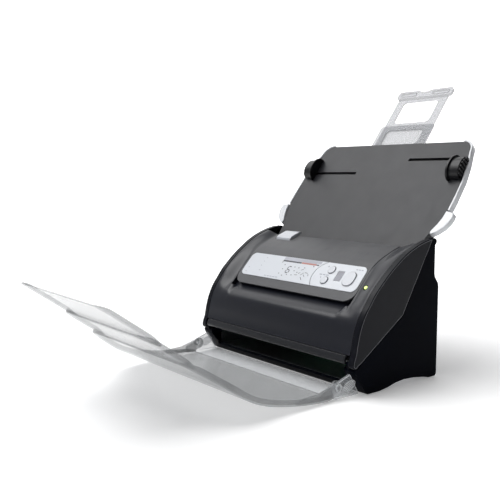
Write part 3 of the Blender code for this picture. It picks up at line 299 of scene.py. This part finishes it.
def rounded_mesh(mesh, width, segments=3, limit=30, smooth=30):
    """The mesh with its sharp edges rounded and its normals weighted, as a new mesh."""
    temp = bpy.data.objects.new("temp", mesh)
    bpy.context.scene.collection.objects.link(temp)
    if width:
        mod = temp.modifiers.new("Bevel", "BEVEL")
        mod.width = width * 0.001
        mod.segments = segments
        mod.limit_method = "ANGLE"
        mod.angle_limit = math.radians(limit)
        mod.use_clamp_overlap = True
    bpy.context.view_layer.update()
    done = bpy.data.meshes.new_from_object(temp.evaluated_get(bpy.context.evaluated_depsgraph_get()))
    bpy.data.objects.remove(temp, do_unlink=True)
    for p in done.polygons:
        p.use_smooth = True
    done.set_sharp_from_angle(angle=math.radians(smooth))
    temp = bpy.data.objects.new("temp", done)
    bpy.context.scene.collection.objects.link(temp)
    mod = temp.modifiers.new("Normals", "WEIGHTED_NORMAL")
    mod.keep_sharp = True
    mod.weight = 80
    bpy.context.view_layer.update()
    even = bpy.data.meshes.new_from_object(temp.evaluated_get(bpy.context.evaluated_depsgraph_get()))
    bpy.data.objects.remove(temp, do_unlink=True)
    return even


def skin(node, width=0.35, segments=3, mat=None, limit=30, smooth=32, slot_name=None):
    """A finer copy of a CAD node: its edges are rounded and it stands for the node."""
    mesh = NODES[node].data.copy()
    bm = bmesh.new()
    bm.from_mesh(mesh)
    clean(bm)
    bm.to_mesh(mesh)
    bm.free()
    mesh = rounded_mesh(mesh, width, segments, limit, smooth)
    mesh.name = node + "_skin"
    return add(node + "_skin", mesh, BODY_OF[node], slot_name or SLOT_OF[node], mat, (node,))


def curve_through(points, per=5, closed=False):
    """Centripetal spline through the points, so facets of the CAD become a smooth line."""
    pts = [Vector(p) for p in points]
    n = len(pts)
    out = []
    for i in range(n if closed else n - 1):
        p1, p2 = pts[i], pts[(i + 1) % n]
        p0 = pts[i - 1] if (closed or i > 0) else p1 * 2 - p2
        p3 = pts[(i + 2) % n] if (closed or i + 2 < n) else p2 * 2 - p1
        for k in range(per):
            t = k / per
            t1 = max(1e-6, (p1 - p0).length ** 0.5)
            t2 = max(1e-6, (p2 - p1).length ** 0.5)
            t3 = max(1e-6, (p3 - p2).length ** 0.5)
            m1 = ((p1 - p0) / t1 - (p2 - p0) / (t1 + t2) + (p2 - p1) / t2) * t2
            m2 = ((p2 - p1) / t2 - (p3 - p1) / (t2 + t3) + (p3 - p2) / t3) * t2
            a = 2 * t ** 3 - 3 * t ** 2 + 1
            b = t ** 3 - 2 * t ** 2 + t
            c = -2 * t ** 3 + 3 * t ** 2
            d = t ** 3 - t ** 2
            out.append(tuple(p1 * a + m1 * b + p2 * c + m2 * d))
    if not closed:
        out.append(tuple(pts[-1]))
    return out


def offset_line(points, d):
    out = []
    for i, p in enumerate(points):
        ns = []
        for a, b in ((i - 1, i), (i, i + 1)):
            if a >= 0 and b < len(points):
                t = (Vector(points[b]) - Vector(points[a])).normalized()
                ns.append(Vector((-t.y, t.x)))
        m = sum(ns, Vector((0, 0))).normalized()
        out.append(tuple(Vector(p) + m * (d / max(0.3, m.dot(ns[0])))))
    return out


def arc(cx, cy, r, a0, a1, n):
    return [(cx + r * math.cos(math.radians(a0 + (a1 - a0) * i / n)),
             cy + r * math.sin(math.radians(a0 + (a1 - a0) * i / n))) for i in range(n + 1)]


def circle(cx, cy, r, n=48):
    return arc(cx, cy, r, 0, 360, n)[:-1]


def rrect(x0, y0, x1, y1, r, n=6):
    return arc(x1 - r, y0 + r, r, -90, 0, n) + arc(x1 - r, y1 - r, r, 0, 90, n) + \
        arc(x0 + r, y1 - r, r, 90, 180, n) + arc(x0 + r, y0 + r, r, 180, 270, n)


def slab(outlines, z0, z1, at, width=0.0, segments=3, limit=40, smooth=30):
    """Solid between z0 and z1 of a closed outline, or of an outline and its holes."""
    if isinstance(outlines[0][0], (int, float)):
        outlines = [outlines]
    curve = bpy.data.curves.new("slab", "CURVE")
    curve.dimensions = "2D"
    curve.fill_mode = "BOTH"
    curve.extrude = (z1 - z0) / 2
    for outline in outlines:
        s = curve.splines.new("POLY")
        s.points.add(len(outline) - 1)
        for p, (x, y) in zip(s.points, outline):
            p.co = (x, y, 0, 1)
        s.use_cyclic_u = True
    temp = bpy.data.objects.new("slab", curve)
    bpy.context.scene.collection.objects.link(temp)
    bpy.context.view_layer.update()
    mesh = bpy.data.meshes.new_from_object(temp.evaluated_get(bpy.context.evaluated_depsgraph_get()))
    bpy.data.objects.remove(temp, do_unlink=True)
    bpy.data.curves.remove(curve)
    bm = bmesh.new()
    bm.from_mesh(mesh)
    bmesh.ops.transform(bm, matrix=at @ Matrix.Translation((0, 0, (z0 + z1) / 2)), verts=bm.verts)
    clean(bm)
    bm.to_mesh(mesh)
    bm.free()
    return rounded_mesh(mesh, width, segments, limit, smooth)


def cut(mesh, others, operation="DIFFERENCE"):
    """The mesh after exact Booleans with the other meshes."""
    for other in others:
        a = bpy.data.objects.new("a", mesh)
        b = bpy.data.objects.new("b", other)
        for o in (a, b):
            bpy.context.scene.collection.objects.link(o)
        mod = a.modifiers.new("Boolean", "BOOLEAN")
        mod.operation = operation
        mod.object = b
        mod.solver = "EXACT"
        bpy.context.view_layer.update()
        mesh = bpy.data.meshes.new_from_object(a.evaluated_get(bpy.context.evaluated_depsgraph_get()))
        for o in (a, b):
            bpy.data.objects.remove(o, do_unlink=True)
    return mesh


# ---------------------------------------------------------------- feeder cover
RIM = [
    (-84.5, 42.0), (-83.2, 47.0), (-80.6, 53.5), (-79.0, 62.0), (-75.3, 77.0), (-70.3, 90.0), (-63.7, 102.0),
    (-56.0, 112.0), (-46.7, 124.1), (-33.5, 136.9), (-20.0, 148.7), (-6.5, 158.6), (7.0, 167.5),
    (21.0, 174.6),
    (33.0, 179.4), (46.0, 183.6), (60.0, 186.6),
]
# side lines of the hood, from the lip to the rear edge: at the rim, at the tongue and through the valley
RIM_LINE = [(-81.6, 51.2), (-80.0, 56.0), (-78.6, 62.0), (-77.0, 69.5), (-74.9, 77.0), (-72.7, 83.8),
            (-70.0, 90.0),
            (-67.3, 95.2), (-63.4, 101.6), (-58.8, 107.6), (-54.5, 113.2), (-46.7, 123.2), (-40.0, 130.2),
            (-33.5, 136.2), (-20.0, 148.0), (-6.5, 157.9), (7.0, 166.8), (22.0, 174.4), (40.0, 181.0)]
SIDE_LINE = [(-81.6, 51.2), (-80.0, 56.0), (-78.6, 62.0), (-77.1, 69.5), (-75.1, 77.0), (-72.9, 84.0),
             (-70.2, 90.2),
             (-66.5, 95.8), (-61.4, 100.6), (-56.0, 105.2), (-50.6, 109.8), (-42.6, 118.5), (-35.8, 125.8),
             (-29.0, 133.1), (-14.7, 148.4), (-2.0, 157.3), (10.0, 163.0), (25.0, 169.1), (42.0, 174.8)]
VALLEY = [(-81.6, 51.2), (-80.0, 56.0), (-78.6, 62.0), (-77.1, 69.5), (-75.1, 77.0), (-73.1, 83.6),
          (-70.8, 89.4),
          (-67.2, 93.8), (-62.5, 96.9), (-56.5, 99.6), (-50.5, 102.6), (-44.0, 107.2), (-38.0, 113.5),
          (-31.5, 121.0), (-15.7, 139.6), (-2.0, 150.0), (10.0, 156.5), (25.0, 163.0), (42.0, 169.0)]
TONGUE = [(-51.4, 109.4), (-42.6, 118.9), (-35.8, 126.2), (-29.0, 133.5), (-21.8, 141.2), (-14.7, 148.9),
          (-2.0, 157.8), (10.0, 163.5), (25.0, 169.6), (42.0, 175.3)]
CORE, TONGUE_HALF, CORNER = 149.8, 122.0, 17.0


def blend_lines(a, b, t):
    return [(p[0] + (q[0] - p[0]) * t, p[1] + (q[1] - p[1]) * t) for p, q in zip(a, b)]


def soft(t):
    t = min(1.0, max(0.0, t))
    return t * t * (3 - 2 * t)


def shell(columns, thick):
    """Shell through (x, side line) columns, each line a smooth list of points of equal count."""
    bm = bmesh.new()
    rows = []
    for x, line in columns:
        ring = [(x, *p) for p in line] + [(x, *p) for p in offset_line(line, -thick)[::-1]]
        rows.append([bm.verts.new(Vector((q[0], q[1] + Y_SHIFT, q[2])) * 0.001) for q in ring])
    n = len(rows[0])
    for a, b in zip(rows, rows[1:]):
        for i in range(n):
            bm.faces.new((a[i], a[(i + 1) % n], b[(i + 1) % n], b[i]))
    for row in (rows[0], rows[-1]):
        for i in range(n // 2 - 1):
            bm.faces.new((row[i], row[i + 1], row[n - 2 - i], row[n - 1 - i]))
    bmesh.ops.recalc_face_normals(bm, faces=bm.faces)
    mesh = bpy.data.meshes.new("shell")
    bm.to_mesh(mesh)
    bm.free()
    return mesh


def hood_line(x):
    """Rim line at the cheeks, a soft S to the tongue's side, then the valley under the tongue's lip."""
    ax = abs(x)
    if ax >= TONGUE_HALF + 0.5:
        line = blend_lines(RIM_LINE, SIDE_LINE, soft((CORE - 1.5 - ax) / (CORE - 1.5 - TONGUE_HALF - 2.0)))
    else:
        line = blend_lines(SIDE_LINE, VALLEY, 1.0)
        rise = soft((ax - 110.0) / 9.0)
        line = [(p[0] + (q[0] - p[0]) * rise, p[1] + (q[1] - p[1]) * rise) if i < 10 else p
                for i, (p, q) in enumerate(zip(line, SIDE_LINE))]
    return curve_through(line, 3)


xs = [CORE - i * 1.55 for i in range(18)] + [TONGUE_HALF + 0.5, TONGUE_HALF + 0.45]
xs += [TONGUE_HALF - 1.2 * i for i in range(11)] + [106.0, 96.0, 70.0, 35.0, 0.0]
xs = [-x for x in xs] + xs[-2::-1]
add("front_shell", rounded_mesh(shell([(x, hood_line(x)) for x in xs], 2.2), 0, 2, 50, 42), "front_cover",
    "cover_black", None, ("front_panel",))


def trimmed(line, start):
    """The part of a line beyond this length from its first point, with the same number of points."""
    pts = [Vector(p) for p in line]
    lens = [0.0]
    for a, b in zip(pts, pts[1:]):
        lens.append(lens[-1] + (b - a).length)
    out = []
    for i in range(len(pts)):
        want = start + (lens[-1] - start) * i / (len(pts) - 1)
        for k in range(len(pts) - 1):
            if want <= lens[k + 1] + 1e-9:
                f = (want - lens[k]) / (lens[k + 1] - lens[k])
                out.append(tuple(pts[k].lerp(pts[k + 1], f)))
                break
    return out


tongue_line = curve_through(TONGUE, 4)
columns = []
for i in range(16):
    a = math.pi / 2 * i / 15
    columns.append((TONGUE_HALF - CORNER * (1 - math.cos(a)), CORNER * (1 - math.sin(a))))
columns += [(80.0, 0.0), (40.0, 0.0), (0.0, 0.0)]
columns = [(-x, s) for x, s in columns] + [(x, s) for x, s in columns[-2::-1]]
PANEL_BOX = (-118.6, -18.4, 118.6, 23.2)
BUTTONS = {"up_button": circle(59.0, 11.0, 5.6), "down_button": circle(56.5, -7.0, 5.6),
           "scan_button": rrect(88.5, -10.0, 106.5, 12.0, 8.0, 10)}
top = shell([(x, trimmed(tongue_line, s)) for x, s in columns], 2.4)
holes = [slab(rrect(*PANEL_BOX, 9.0, 10), -1.5, 6.0, PANEL),
         slab([(-113.5, 24.6), (-80.5, 24.6), (-80.5, 60), (-113.5, 60)], 160, 190, FLAT)]
LAMP_AT = (134.0, -9.0)
top = rounded_mesh(cut(top, holes), 0.45, 3, 50, 40)
# the top shell takes cover_grey, the painted lit copy of the cover plastic
add("top_shell", top, "front_cover", "cover_grey", None, ("top_cover",))


# ---------------------------------------------------------------- control panel
def grown(outline, d):
    """A convex outline enlarged by d about its centre."""
    cx = sum(p[0] for p in outline) / len(outline)
    cy = sum(p[1] for p in outline) / len(outline)
    return [(x + (x - cx) * d / math.hypot(x - cx, y - cy), y + (y - cy) * d / math.hypot(x - cx, y - cy))
            for x, y in outline]


DIVIDER = curve_through([(46.6, 24.5), (37.6, 18.5), (31.2, 10.5), (28.8, 2.0), (29.4, -6.0), (32.4, -13.0),
                         (36.6, -19.5)], 8)
WINDOW_HOLE = (71.9, -5.1, 83.6, 11.6)
PANEL_TOP = 0.45
plate = slab([rrect(PANEL_BOX[0] + 0.4, PANEL_BOX[1] + 0.4, PANEL_BOX[2] - 0.4, PANEL_BOX[3] - 0.4, 8.6, 10)]
             + [grown(o, 0.55) for o in BUTTONS.values()], -1.1, PANEL_TOP, PANEL)
groove = DIVIDER + offset_line(DIVIDER, 0.9)[::-1]
plate = cut(plate, [slab(groove, -0.3, 2.0, PANEL), slab(rrect(*WINDOW_HOLE, 0.8), -0.5, 2.0, PANEL)])
add("control_plate", rounded_mesh(plate, 0.12, 2, 40, 30), "front_cover", "panel_silver", None,
    ("control_panel",))
add("panel_groove", slab(offset_line(DIVIDER, 0.08) + offset_line(DIVIDER, 0.82)[::-1], -0.29, -0.12, PANEL),
    "front_cover", "panel_silver", plastic("groove_grey", (0.06, 0.063, 0.072), 0.5, 2400, 0.1))
ink = plastic("print_dark", (0.035, 0.038, 0.05), 0.45, 3000, 0.05, edge=0.0)
faint = plastic("print_faint", (0.30, 0.32, 0.37), 0.45, 3000, 0.05, edge=0.0)
pale = plastic("print_pale", (0.36, 0.37, 0.42), 0.45, 3000, 0.05, edge=0.0)
ruddy = plastic("print_ruddy", (0.42, 0.16, 0.13), 0.45, 3000, 0.05, edge=0.0)
LIE = PANEL_TOP + 0.02  # printed film lies on the plate


def mark(name, outlines, mat, body="front_cover", at=PANEL, low=LIE, high=LIE + 0.07,
         slot_name="display_grey"):
    """Printed marks of one ink, as thin raised film."""
    return add(name, slab(list(outlines), low, high, at), body, slot_name, mat)


def bar(x0, y0, x1, y1, w):
    d = Vector((x1 - x0, y1 - y0)).normalized() * (w / 2)
    return [(x0 - d.y, y0 + d.x), (x0 + d.y, y0 - d.x), (x1 + d.y, y1 - d.x), (x1 - d.y, y1 + d.x)]


def digit(x, y, w, h, t, on="abcdefg"):
    """Seven-segment figure with a slight lean."""
    g, k = t * 0.6, 0.12
    ends = {"a": (g, h, w - g, h), "d": (g, 0, w - g, 0), "g": (g, h / 2, w - g, h / 2),
            "b": (w, h / 2 + g, w, h - g),
            "c": (w, g, w, h / 2 - g), "f": (0, h / 2 + g, 0, h - g), "e": (0, g, 0, h / 2 - g)}
    return [bar(x + a + b * k, y + b, x + c + d * k, y + d, t) for a, b, c, d in (ends[s] for s in on)]


mark("panel_band", [rrect(-43.5, 17.2, 25.6, 22.4, 0.8, 3), rrect(26.0, 17.6, 33.4, 22.4, 0.8, 3)], pale)
mark("panel_line", [rrect(-43.5, 14.2, -4.6, 16.8, 0.4, 2), rrect(25.8, 14.4, 31.0, 16.4, 0.4, 2),
                    bar(-43.0, 13.9, -43.0, 11.6, 1.2), bar(21.6, 13.6, 23.6, 11.4, 1.2)], ink)
mark("panel_patch", [rrect(-4.2, 14.2, 25.4, 16.9, 0.4, 2)], ruddy)
mark("panel_figure", digit(-26.2, -4.6, 6.4, 11.4, 1.5, "acdefg"), ink)
TICKS = [(-35.2, 8.6), (-19.6, -7.6), (-10.4, -6.9), (-12.5, 7.1), (-36.9, -7.2), (-28.6, -9.8), (-34.6, 1.0),
         (-3.9, 6.6), (-9.6, 0.6), (7.2, 7.9), (-2.2, -1.2)]
mark("panel_ticks", [rrect(x - 1.0, y - 0.7, x + 1.0, y + 0.7, 0.4, 2) for x, y in TICKS]
     + [bar(1.5, -3.1, 4.4, -0.6, 0.8), bar(3.0, 3.4, 7.2, 5.6, 0.8), bar(7.0, -4.6, 11.8, -0.3, 0.8),
        bar(13.2, 0.3, 19.0, 0.0, 0.8), bar(20.4, -0.9, 22.6, -4.6, 0.8), bar(9.8, -8.2, 14.6, -12.6, 0.9),
        bar(-4.4, -5.8, 1.2, -5.4, 0.8), bar(12.4, -3.4, 16.4, -6.6, 0.8)], ink)
mark("panel_faint", [rrect(x - 1.1, y - 0.6, x + 1.1, y + 0.6, 0.4, 2) for x, y in
                     ((-80.9, 16.4), (-82.7, 9.6), (-83.6, 1.7), (-80.6, -6.8), (-108.6, -12.4),
                      (-107.6, -4.4))]
     + [rrect(-64.0 + 6.2 * i, -15.2, -59.4 + 6.2 * i, -14.0, 0.4, 2) for i in range(5)]
     + [rrect(41.4 + 6.4 * i, 1.2, 46.2 + 6.4 * i, 2.8, 0.5, 2) for i in range(3)]
     + [rrect(99.6 + 4.6 * i, 16.4, 103.0 + 4.6 * i, 17.8, 0.4, 2) for i in range(3)]
     + [bar(48.4, 15.2, 50.0, 17.2, 0.6), bar(50.0, 17.2, 51.6, 15.2, 0.6), bar(45.4, -1.6, 47.0, -3.6, 0.6),
        bar(47.0, -3.6, 48.6, -1.6, 0.6)], faint)
REAR_MARK = slope(22.1, 0, 15.0, 165.58)
mark("size_marks", digit(9.6, -3.4, 3.6, 6.6, 0.8, "abcdg") + [bar(17.0, -2.0, 23.0, -1.2, 0.8)]
     + [bar(x, -2.2, x, 2.0, 0.9) for x in (74.0, 103.0, 118.0)]
     + [bar(x, -1.4, x + 4.4, -1.4, 0.8) for x in (77.0, 88.0)]
     + [rrect(x - 0.8, -0.8, x + 0.8, 0.8, 0.4, 2) for x in (-20.0, 40.0, 60.0)], ink, low=-0.05,
     high=0.16, at=REAR_MARK)
# a bevelled ring round each button, coloured dark grey as a painted shadow outline round the key
for key, outline in BUTTONS.items():
    add(key + "_ring", slab([grown(outline, 1.3), grown(outline, 0.6)], 0.44, 0.62, PANEL, 0.06, 2),
        "front_cover",
        "panel_silver", plastic(key + "_ring_shadow_grey", (0.30, 0.31, 0.34), 0.4, 2600, 0.1, edge=0.0))
add("lamp_bezel", slab([circle(*LAMP_AT, 4.1, 40), circle(*LAMP_AT, 2.55, 40)], -1.4, 2.5, PANEL, 0.4, 3),
    "front_cover", "case_black")

# cheeks with a fine rounded rim
SEAM_LOW = offset_line([(63.7, 184.0), (7.1, 91.0), (-71.0, 39.6)], -0.55)
CHEEK = curve_through(RIM, 4) + [(63.0, 186.4)] + SEAM_LOW + arc(-80.0, 40.0, 4.6, -25, -175, 14)
for side, x0, x1 in (("left", -159.0, -150.3), ("right", 150.3, 159.0)):
    add("cheek_shell_" + side, slab(CHEEK, x0, x1, SF, 1.5, 4, 35, 40), "front_cover", "cheek_black", None,
        ("cover_cheek_" + side,))
skin("lip_band", 0.5)


def inset_loop(points, d):
    """A closed outline moved inwards by d."""
    n = len(points)
    out = []
    for i in range(n):
        a, b, c = Vector(points[i - 1]), Vector(points[i]), Vector(points[(i + 1) % n])
        t = ((b - a).normalized() + (c - b).normalized()).normalized()
        out.append((b.x + t.y * d, b.y - t.x * d))
    return out


# a painted highlight: a lighter strip round the outer face of each cheek, standing in for the light its rim catches
painted_rim_highlight = plastic("painted_rim_highlight", (0.085, 0.090, 0.105), 0.3, 2600, 0.05, 0.05, 0.2, 0.0)
for side, x0, x1 in (("left", -159.06, -158.9), ("right", 158.9, 159.06)):
    add("cheek_rim_highlight_" + side, slab([inset_loop(CHEEK, 1.35), inset_loop(CHEEK, 1.95)], x0, x1, SF),
        "front_cover",
        "cheek_black", painted_rim_highlight)


# ---------------------------------------------------------------- output tray: smooth moulded sheets
RAMP = math.radians(35.0)
FLOOR = [(-106.4, 2.6), (-130.0, 3.2), (-155.0, 5.4), (-180.0, 9.2), (-206.0, 14.8), (-228.0, 22.6),
         (-243.0, 31.0)]
P0 = FLOOR[-1]


def ramp(t, lift=0.0):
    return (P0[0] - t * math.cos(RAMP) + lift * math.sin(RAMP),
            P0[1] + t * math.sin(RAMP) + lift * math.cos(RAMP))


def width_at(outline, y):
    """Half width of the plan outline, read at this y; the outline runs forwards."""
    for (x0, y0), (x1, y1) in zip(outline, outline[1:]):
        if y1 <= y <= y0:
            return x0 + (x1 - x0) * (y0 - y) / max(1e-9, y0 - y1)
    return outline[0][0] if y > outline[0][1] else outline[-1][0]


def sheet(profile, outline, thick, lip, wall, fade=8):
    """Sheet under a side profile with its sides turned up; its width follows the plan outline."""
    bm = bmesh.new()
    rows = []
    last = len(profile) - 1
    for i, p in enumerate(profile):
        q = Vector(profile[min(i + 1, last)]) - Vector(profile[max(i - 1, 0)])
        n = Vector((q.y, -q.x)).normalized()
        w = width_at(outline, p[0])
        high = 0.3 + (lip - 0.3) * soft((last - i) / fade) * soft(0.35 + i / 5)
        half = [(w, high), (w, 1.8 - thick)] + [(w - 1.8 + 1.8 * math.cos(math.radians(a)),
                                                1.8 - thick - 1.8 * math.sin(math.radians(a))) for a in (30, 60, 90)]
        rise = min(1.2, high)
        inner = [(w - wall - 1.2, 0.0), (w - wall - 0.4, rise * 0.3), (w - wall, rise),
                 (w - wall, high + 0.01)]
        ring = half + [(-x, h) for x, h in half[::-1]] + [(-x, h) for x, h in inner[::-1]] + inner
        rows.append([bm.verts.new(Vector((x, p[0] + n.x * h + Y_SHIFT, p[1] + n.y * h)) * 0.001)
                     for x, h in ring])
    m = len(rows[0])
    for a, b in zip(rows, rows[1:]):
        for i in range(m):
            bm.faces.new((a[i], a[(i + 1) % m], b[(i + 1) % m], b[i]))
    for row in (rows[0], rows[-1]):
        bm.faces.new(row)
    bmesh.ops.recalc_face_normals(bm, faces=bm.faces)
    mesh = bpy.data.meshes.new("sheet")
    bm.to_mesh(mesh)
    bm.free()
    return mesh


def ramp_run(y0, y1, lift, n):
    """Points of the ramp between these two y, near its front end closer together."""
    t0, t1 = ((P0[0] + lift * math.sin(RAMP) - y) / math.cos(RAMP) for y in (y0, y1))
    return [ramp(t0 + (t1 - t0) * (1 - (1 - i / n) ** 1.6), lift) for i in range(n + 1)]


def half_plan(points):
    return curve_through(points, 5)


SHEETS = {
    "output_tray": (curve_through(FLOOR + [ramp(10.0)], 4)[:-4] + ramp_run(-251.0, -295.9, 0.0, 18),
                    [(147.1, -100.0), (147.1, -111.9), (150.0, -112.6)] +
                    half_plan([(150.0, -210.0), (149.4, -230.0), (146.9, -247.0), (141.8, -260.5),
                               (133.6, -273.0),
                               (123.0, -284.0), (113.0, -291.8), (104.0, -296.3)]), 2.1, 5.8, 2.2),
    "tray_extension_1": (ramp_run(-279.4, -340.3, 2.9, 22),
                         half_plan([(107.4, -270.0), (107.4, -312.0), (106.2, -322.0), (102.6, -330.0),
                                    (96.2, -336.0),
                                    (84.0, -340.8)]), 1.8, 4.6, 1.8),
    "tray_extension_2": (ramp_run(-318.8, -391.1, 5.8, 22),
                         half_plan([(103.4, -310.0), (103.4, -366.0), (103.1, -380.0), (101.4, -388.0),
                                    (95.0, -392.2)]), 1.8, 4.0, 1.6),
}
for node, (profile, outline, thick, lip, wall) in SHEETS.items():
    add(node + "_sheet", rounded_mesh(sheet(profile, outline, thick, lip, wall), 0, 2, 50, 38), BODY_OF[node],
        "tray_clear", None, (node,))
PX, PY = -101.0, 15.0
WALL_SIDE = arc(PX, PY, 11.6, 163, 236, 20) + [(-107.0, 2.9), (-130.0, 3.6), (-168.0, 6.8), (-166.5, 10.8),
                                               (-160.0, 12.0), (-131.0, 13.4)]
EAR_SIDE = [(-124.0, 3.6), (-124.0, 12.0), (-112.0, 17.4)] + arc(PX, PY, 8.0, 120, -100, 40) + [(-108.0, 3.2)]
skin("tray_arms", 0.35, 3, MAT["arm_clear"])
# painted highlight: near-white colour on the grip's dots, the grip's rim, the ring boss and strips along each arm's
# edges, standing in for light caught by the clear plastic's edges
arm_highlight_white = plastic("painted_highlight_white", (0.74, 0.76, 0.78), 0.22, 3000, 0.05, 0.03, 0.3, 0.0)
for side, sign in (("left", -1), ("right", 1)):
    grip = [(-82.6 + 10.4 * math.cos(a) * math.cos(0.32) - 6.2 * math.sin(a) * math.sin(0.32),
             14.4 + 10.4 * math.cos(a) * math.sin(0.32) + 6.2 * math.sin(a) * math.cos(0.32))
            for a in [2 * math.pi * i / 40 for i in range(40)]]
    dots = []
    for i in range(-4, 5):
        for j in range(-2, 3):
            u, v = 2.4 * i + (1.2 if j % 2 else 0.0), 2.1 * j
            if (u / 9.2) ** 2 + (v / 5.2) ** 2 < 1:
                dots.append(circle(-82.6 + u * math.cos(0.32) - v * math.sin(0.32),
                                   14.4 + u * math.sin(0.32) + v * math.cos(0.32), 0.82, 12))
    zs = sorted((151.0 * sign, 151.55 * sign))
    mark("arm_grip_" + side, dots, arm_highlight_white, "chassis", SF, *zs, slot_name="tray_clear")
    add("arm_rim_" + side, slab([grip, grown(grip, -0.7)], *zs, SF, 0.12, 2), "chassis", "tray_clear", arm_highlight_white)
    add("arm_ring_" + side, slab([circle(PX, PY, 5.0, 40), circle(PX, PY, 2.9, 40)], *zs, SF, 0.12, 2),
        "chassis",
        "tray_clear", arm_highlight_white)
    mark("arm_edge_highlight_" + side, [bar(-81.6, 27.4, -102.4, 20.3, 1.1), bar(-80.6, 26.8, -66.6, 2.6, 0.8),
                              bar(-92.0, 2.6, -68.0, 2.0, 0.7)], arm_highlight_white, "chassis", SF,
         *sorted((150.42 * sign, 150.6 * sign)), slot_name="tray_clear")
    add("tray_wall_" + side, slab(WALL_SIDE, *sorted((147.2 * sign, 149.9 * sign)), SF, 0.7, 3, 35, 35),
        "tray",
        "tray_clear", None, ("output_tray",))
    add("tray_ear_" + side, slab([EAR_SIDE, circle(PX, PY, 3.4, 40)],
                                 *sorted((144.4 * sign, 147.2 * sign)), SF, 0.5),
        "tray", "tray_clear", None, ("output_tray",))


# ---------------------------------------------------------------- everything that keeps its CAD shape
for node, width in {
    "base_housing": 0.6, "rear_cover": 0.25, "bottom_plate": 0.2, "front_foot_strip": 0.4,
    "rear_foot_strip": 0.4,
    "chute_tray": 0.5, "chute_back_cover": 0.4, "chute_trim_left": 0.5, "chute_trim_right": 0.5,
    "chute_wing_left": 0.5, "chute_wing_right": 0.5, "paper_guide_left": 0.4, "paper_guide_right": 0.4,
    "rest_lower": 0.25, "rest_upper": 0.25, "release_lever": 0.3, "up_button": 0.2, "down_button": 0.2,
    "scan_button": 0.2, "status_lamp": 0.2, "lower_guide_plate": 0.2, "upper_guide_plate": 0.2,
    "power_inlet": 0.2,
    "data_socket": 0.2,
    "separation_pad": 0.3, "drive_motor": 0.3,
}.items():
    skin(node, width)

for name, obj in NODES.items():
    if not obj.hide_render:
        m = MAT[SLOT_OF[name]]
        for s in obj.material_slots:
            s.material = m
        if not obj.material_slots:
            obj.data.materials.append(m)


# ---------------------------------------------------------------- stage
def stage_mesh():
    """Pale floor that curves up into a pale backdrop."""
    bm = bmesh.new()
    prof = [(-6.0, 0.0), (4.0, 0.0)] + [(4.0 + 2.0 * math.sin(a), 2.0 - 2.0 * math.cos(a)) for a in
                                        [math.pi / 2 * i / 12 for i in range(1, 13)]] + [(6.0, 7.0)]
    rows = [[bm.verts.new((x, y, z)) for y, z in prof] for x in (-8.0, 8.0)]
    for i in range(len(prof) - 1):
        bm.faces.new((rows[0][i], rows[1][i], rows[1][i + 1], rows[0][i + 1]))
    mesh = bpy.data.meshes.new("studio_floor")
    bm.to_mesh(mesh)
    bm.free()
    for p in mesh.polygons:
        p.use_smooth = True
    return mesh


t = Net("studio_paper")
place = t.n("TexCoord")
apart = t.n("SeparateXYZ")
t.link(place.outputs["Object"], apart.inputs[0])
t.link(t.mix(t.span(t.noise(1.4, 2.0), 0.0, 1.0, 0.3, 0.7), (0.90, 0.90, 0.905), (0.92, 0.92, 0.92)),
       t.p.inputs["Base Color"])
t.set(Roughness=0.8, Specular_IOR_Level=0.2, Emission_Color=(1.0, 1.0, 1.0, 1.0))
t.link(t.span(apart.outputs["Y"], 0.22, 0.95, 0.3, 3.2), t.p.inputs["Emission Strength"])
floor = bpy.data.objects.new("studio_floor", stage_mesh())
bpy.context.scene.collection.objects.link(floor)
floor.data.materials.append(t.mat)
floor.rotation_euler = (0, 0, math.radians(51.4))

# the room is dark behind the machine's right side and pale elsewhere
world = bpy.data.worlds.new("studio")
world.use_nodes = True
wt = world.node_tree
where = wt.nodes.new("ShaderNodeTexCoord")
toward = wt.nodes.new("ShaderNodeVectorMath")
toward.operation = "DOT_PRODUCT"
toward.inputs[1].default_value = (0.86, 0.50, 0.0)
wt.links.new(where.outputs["Generated"], toward.inputs[0])
fall = wt.nodes.new("ShaderNodeMapRange")
for key, value in (("From Min", -0.2), ("From Max", 0.6), ("To Min", 0.42), ("To Max", 0.03)):
    fall.inputs[key].default_value = value
wt.links.new(toward.outputs["Value"], fall.inputs["Value"])
wt.links.new(fall.outputs["Result"], wt.nodes["Background"].inputs["Strength"])
wt.nodes["Background"].inputs["Color"].default_value = (0.97, 0.98, 1.0, 1)
bpy.context.scene.world = world


def light(kind, name, at, aim, power, **kw):
    data = bpy.data.lights.new(name, kind)
    data.energy = power
    for k, v in kw.items():
        setattr(data, k, v)
    obj = bpy.data.objects.new(name, data)
    bpy.context.scene.collection.objects.link(obj)
    obj.location = at
    obj.rotation_euler = (Vector(at) - Vector(aim)).to_track_quat("Z", "Y").to_euler()
    return obj


light("SUN", "sky", (-1.0, -0.6, 2.6), (0, 0, 0), 2.1, angle=math.radians(50))
light("AREA", "key", (-0.9, -0.7, 1.5), (0, 0, 0.12), 6, shape="RECTANGLE", size=1.2, size_y=0.8)

# ---------------------------------------------------------------- camera, from the front right, a little above
AZ, EL = math.radians(51.40), math.radians(6.02)
FOCAL = 709.53  # in pixels of a 500 pixel wide picture
SENSOR = 36.0
cam_data = bpy.data.cameras.new("camera")
cam_data.sensor_width = SENSOR
cam_data.lens = FOCAL / 500 * SENSOR
cam_data.clip_end = 50
cam = bpy.data.objects.new("camera", cam_data)
bpy.context.scene.collection.objects.link(cam)
cam.location = Vector((734.39, -703.14 + Y_SHIFT, 269.72)) * 0.001
away = Vector((math.sin(AZ) * math.cos(EL), -math.cos(AZ) * math.cos(EL), math.sin(EL)))
cam.rotation_euler = away.to_track_quat("Z", "Y").to_euler()
bpy.context.scene.camera = cam
bpy.context.scene.view_settings.view_transform = "Standard"

bpy.context.view_layer.update()
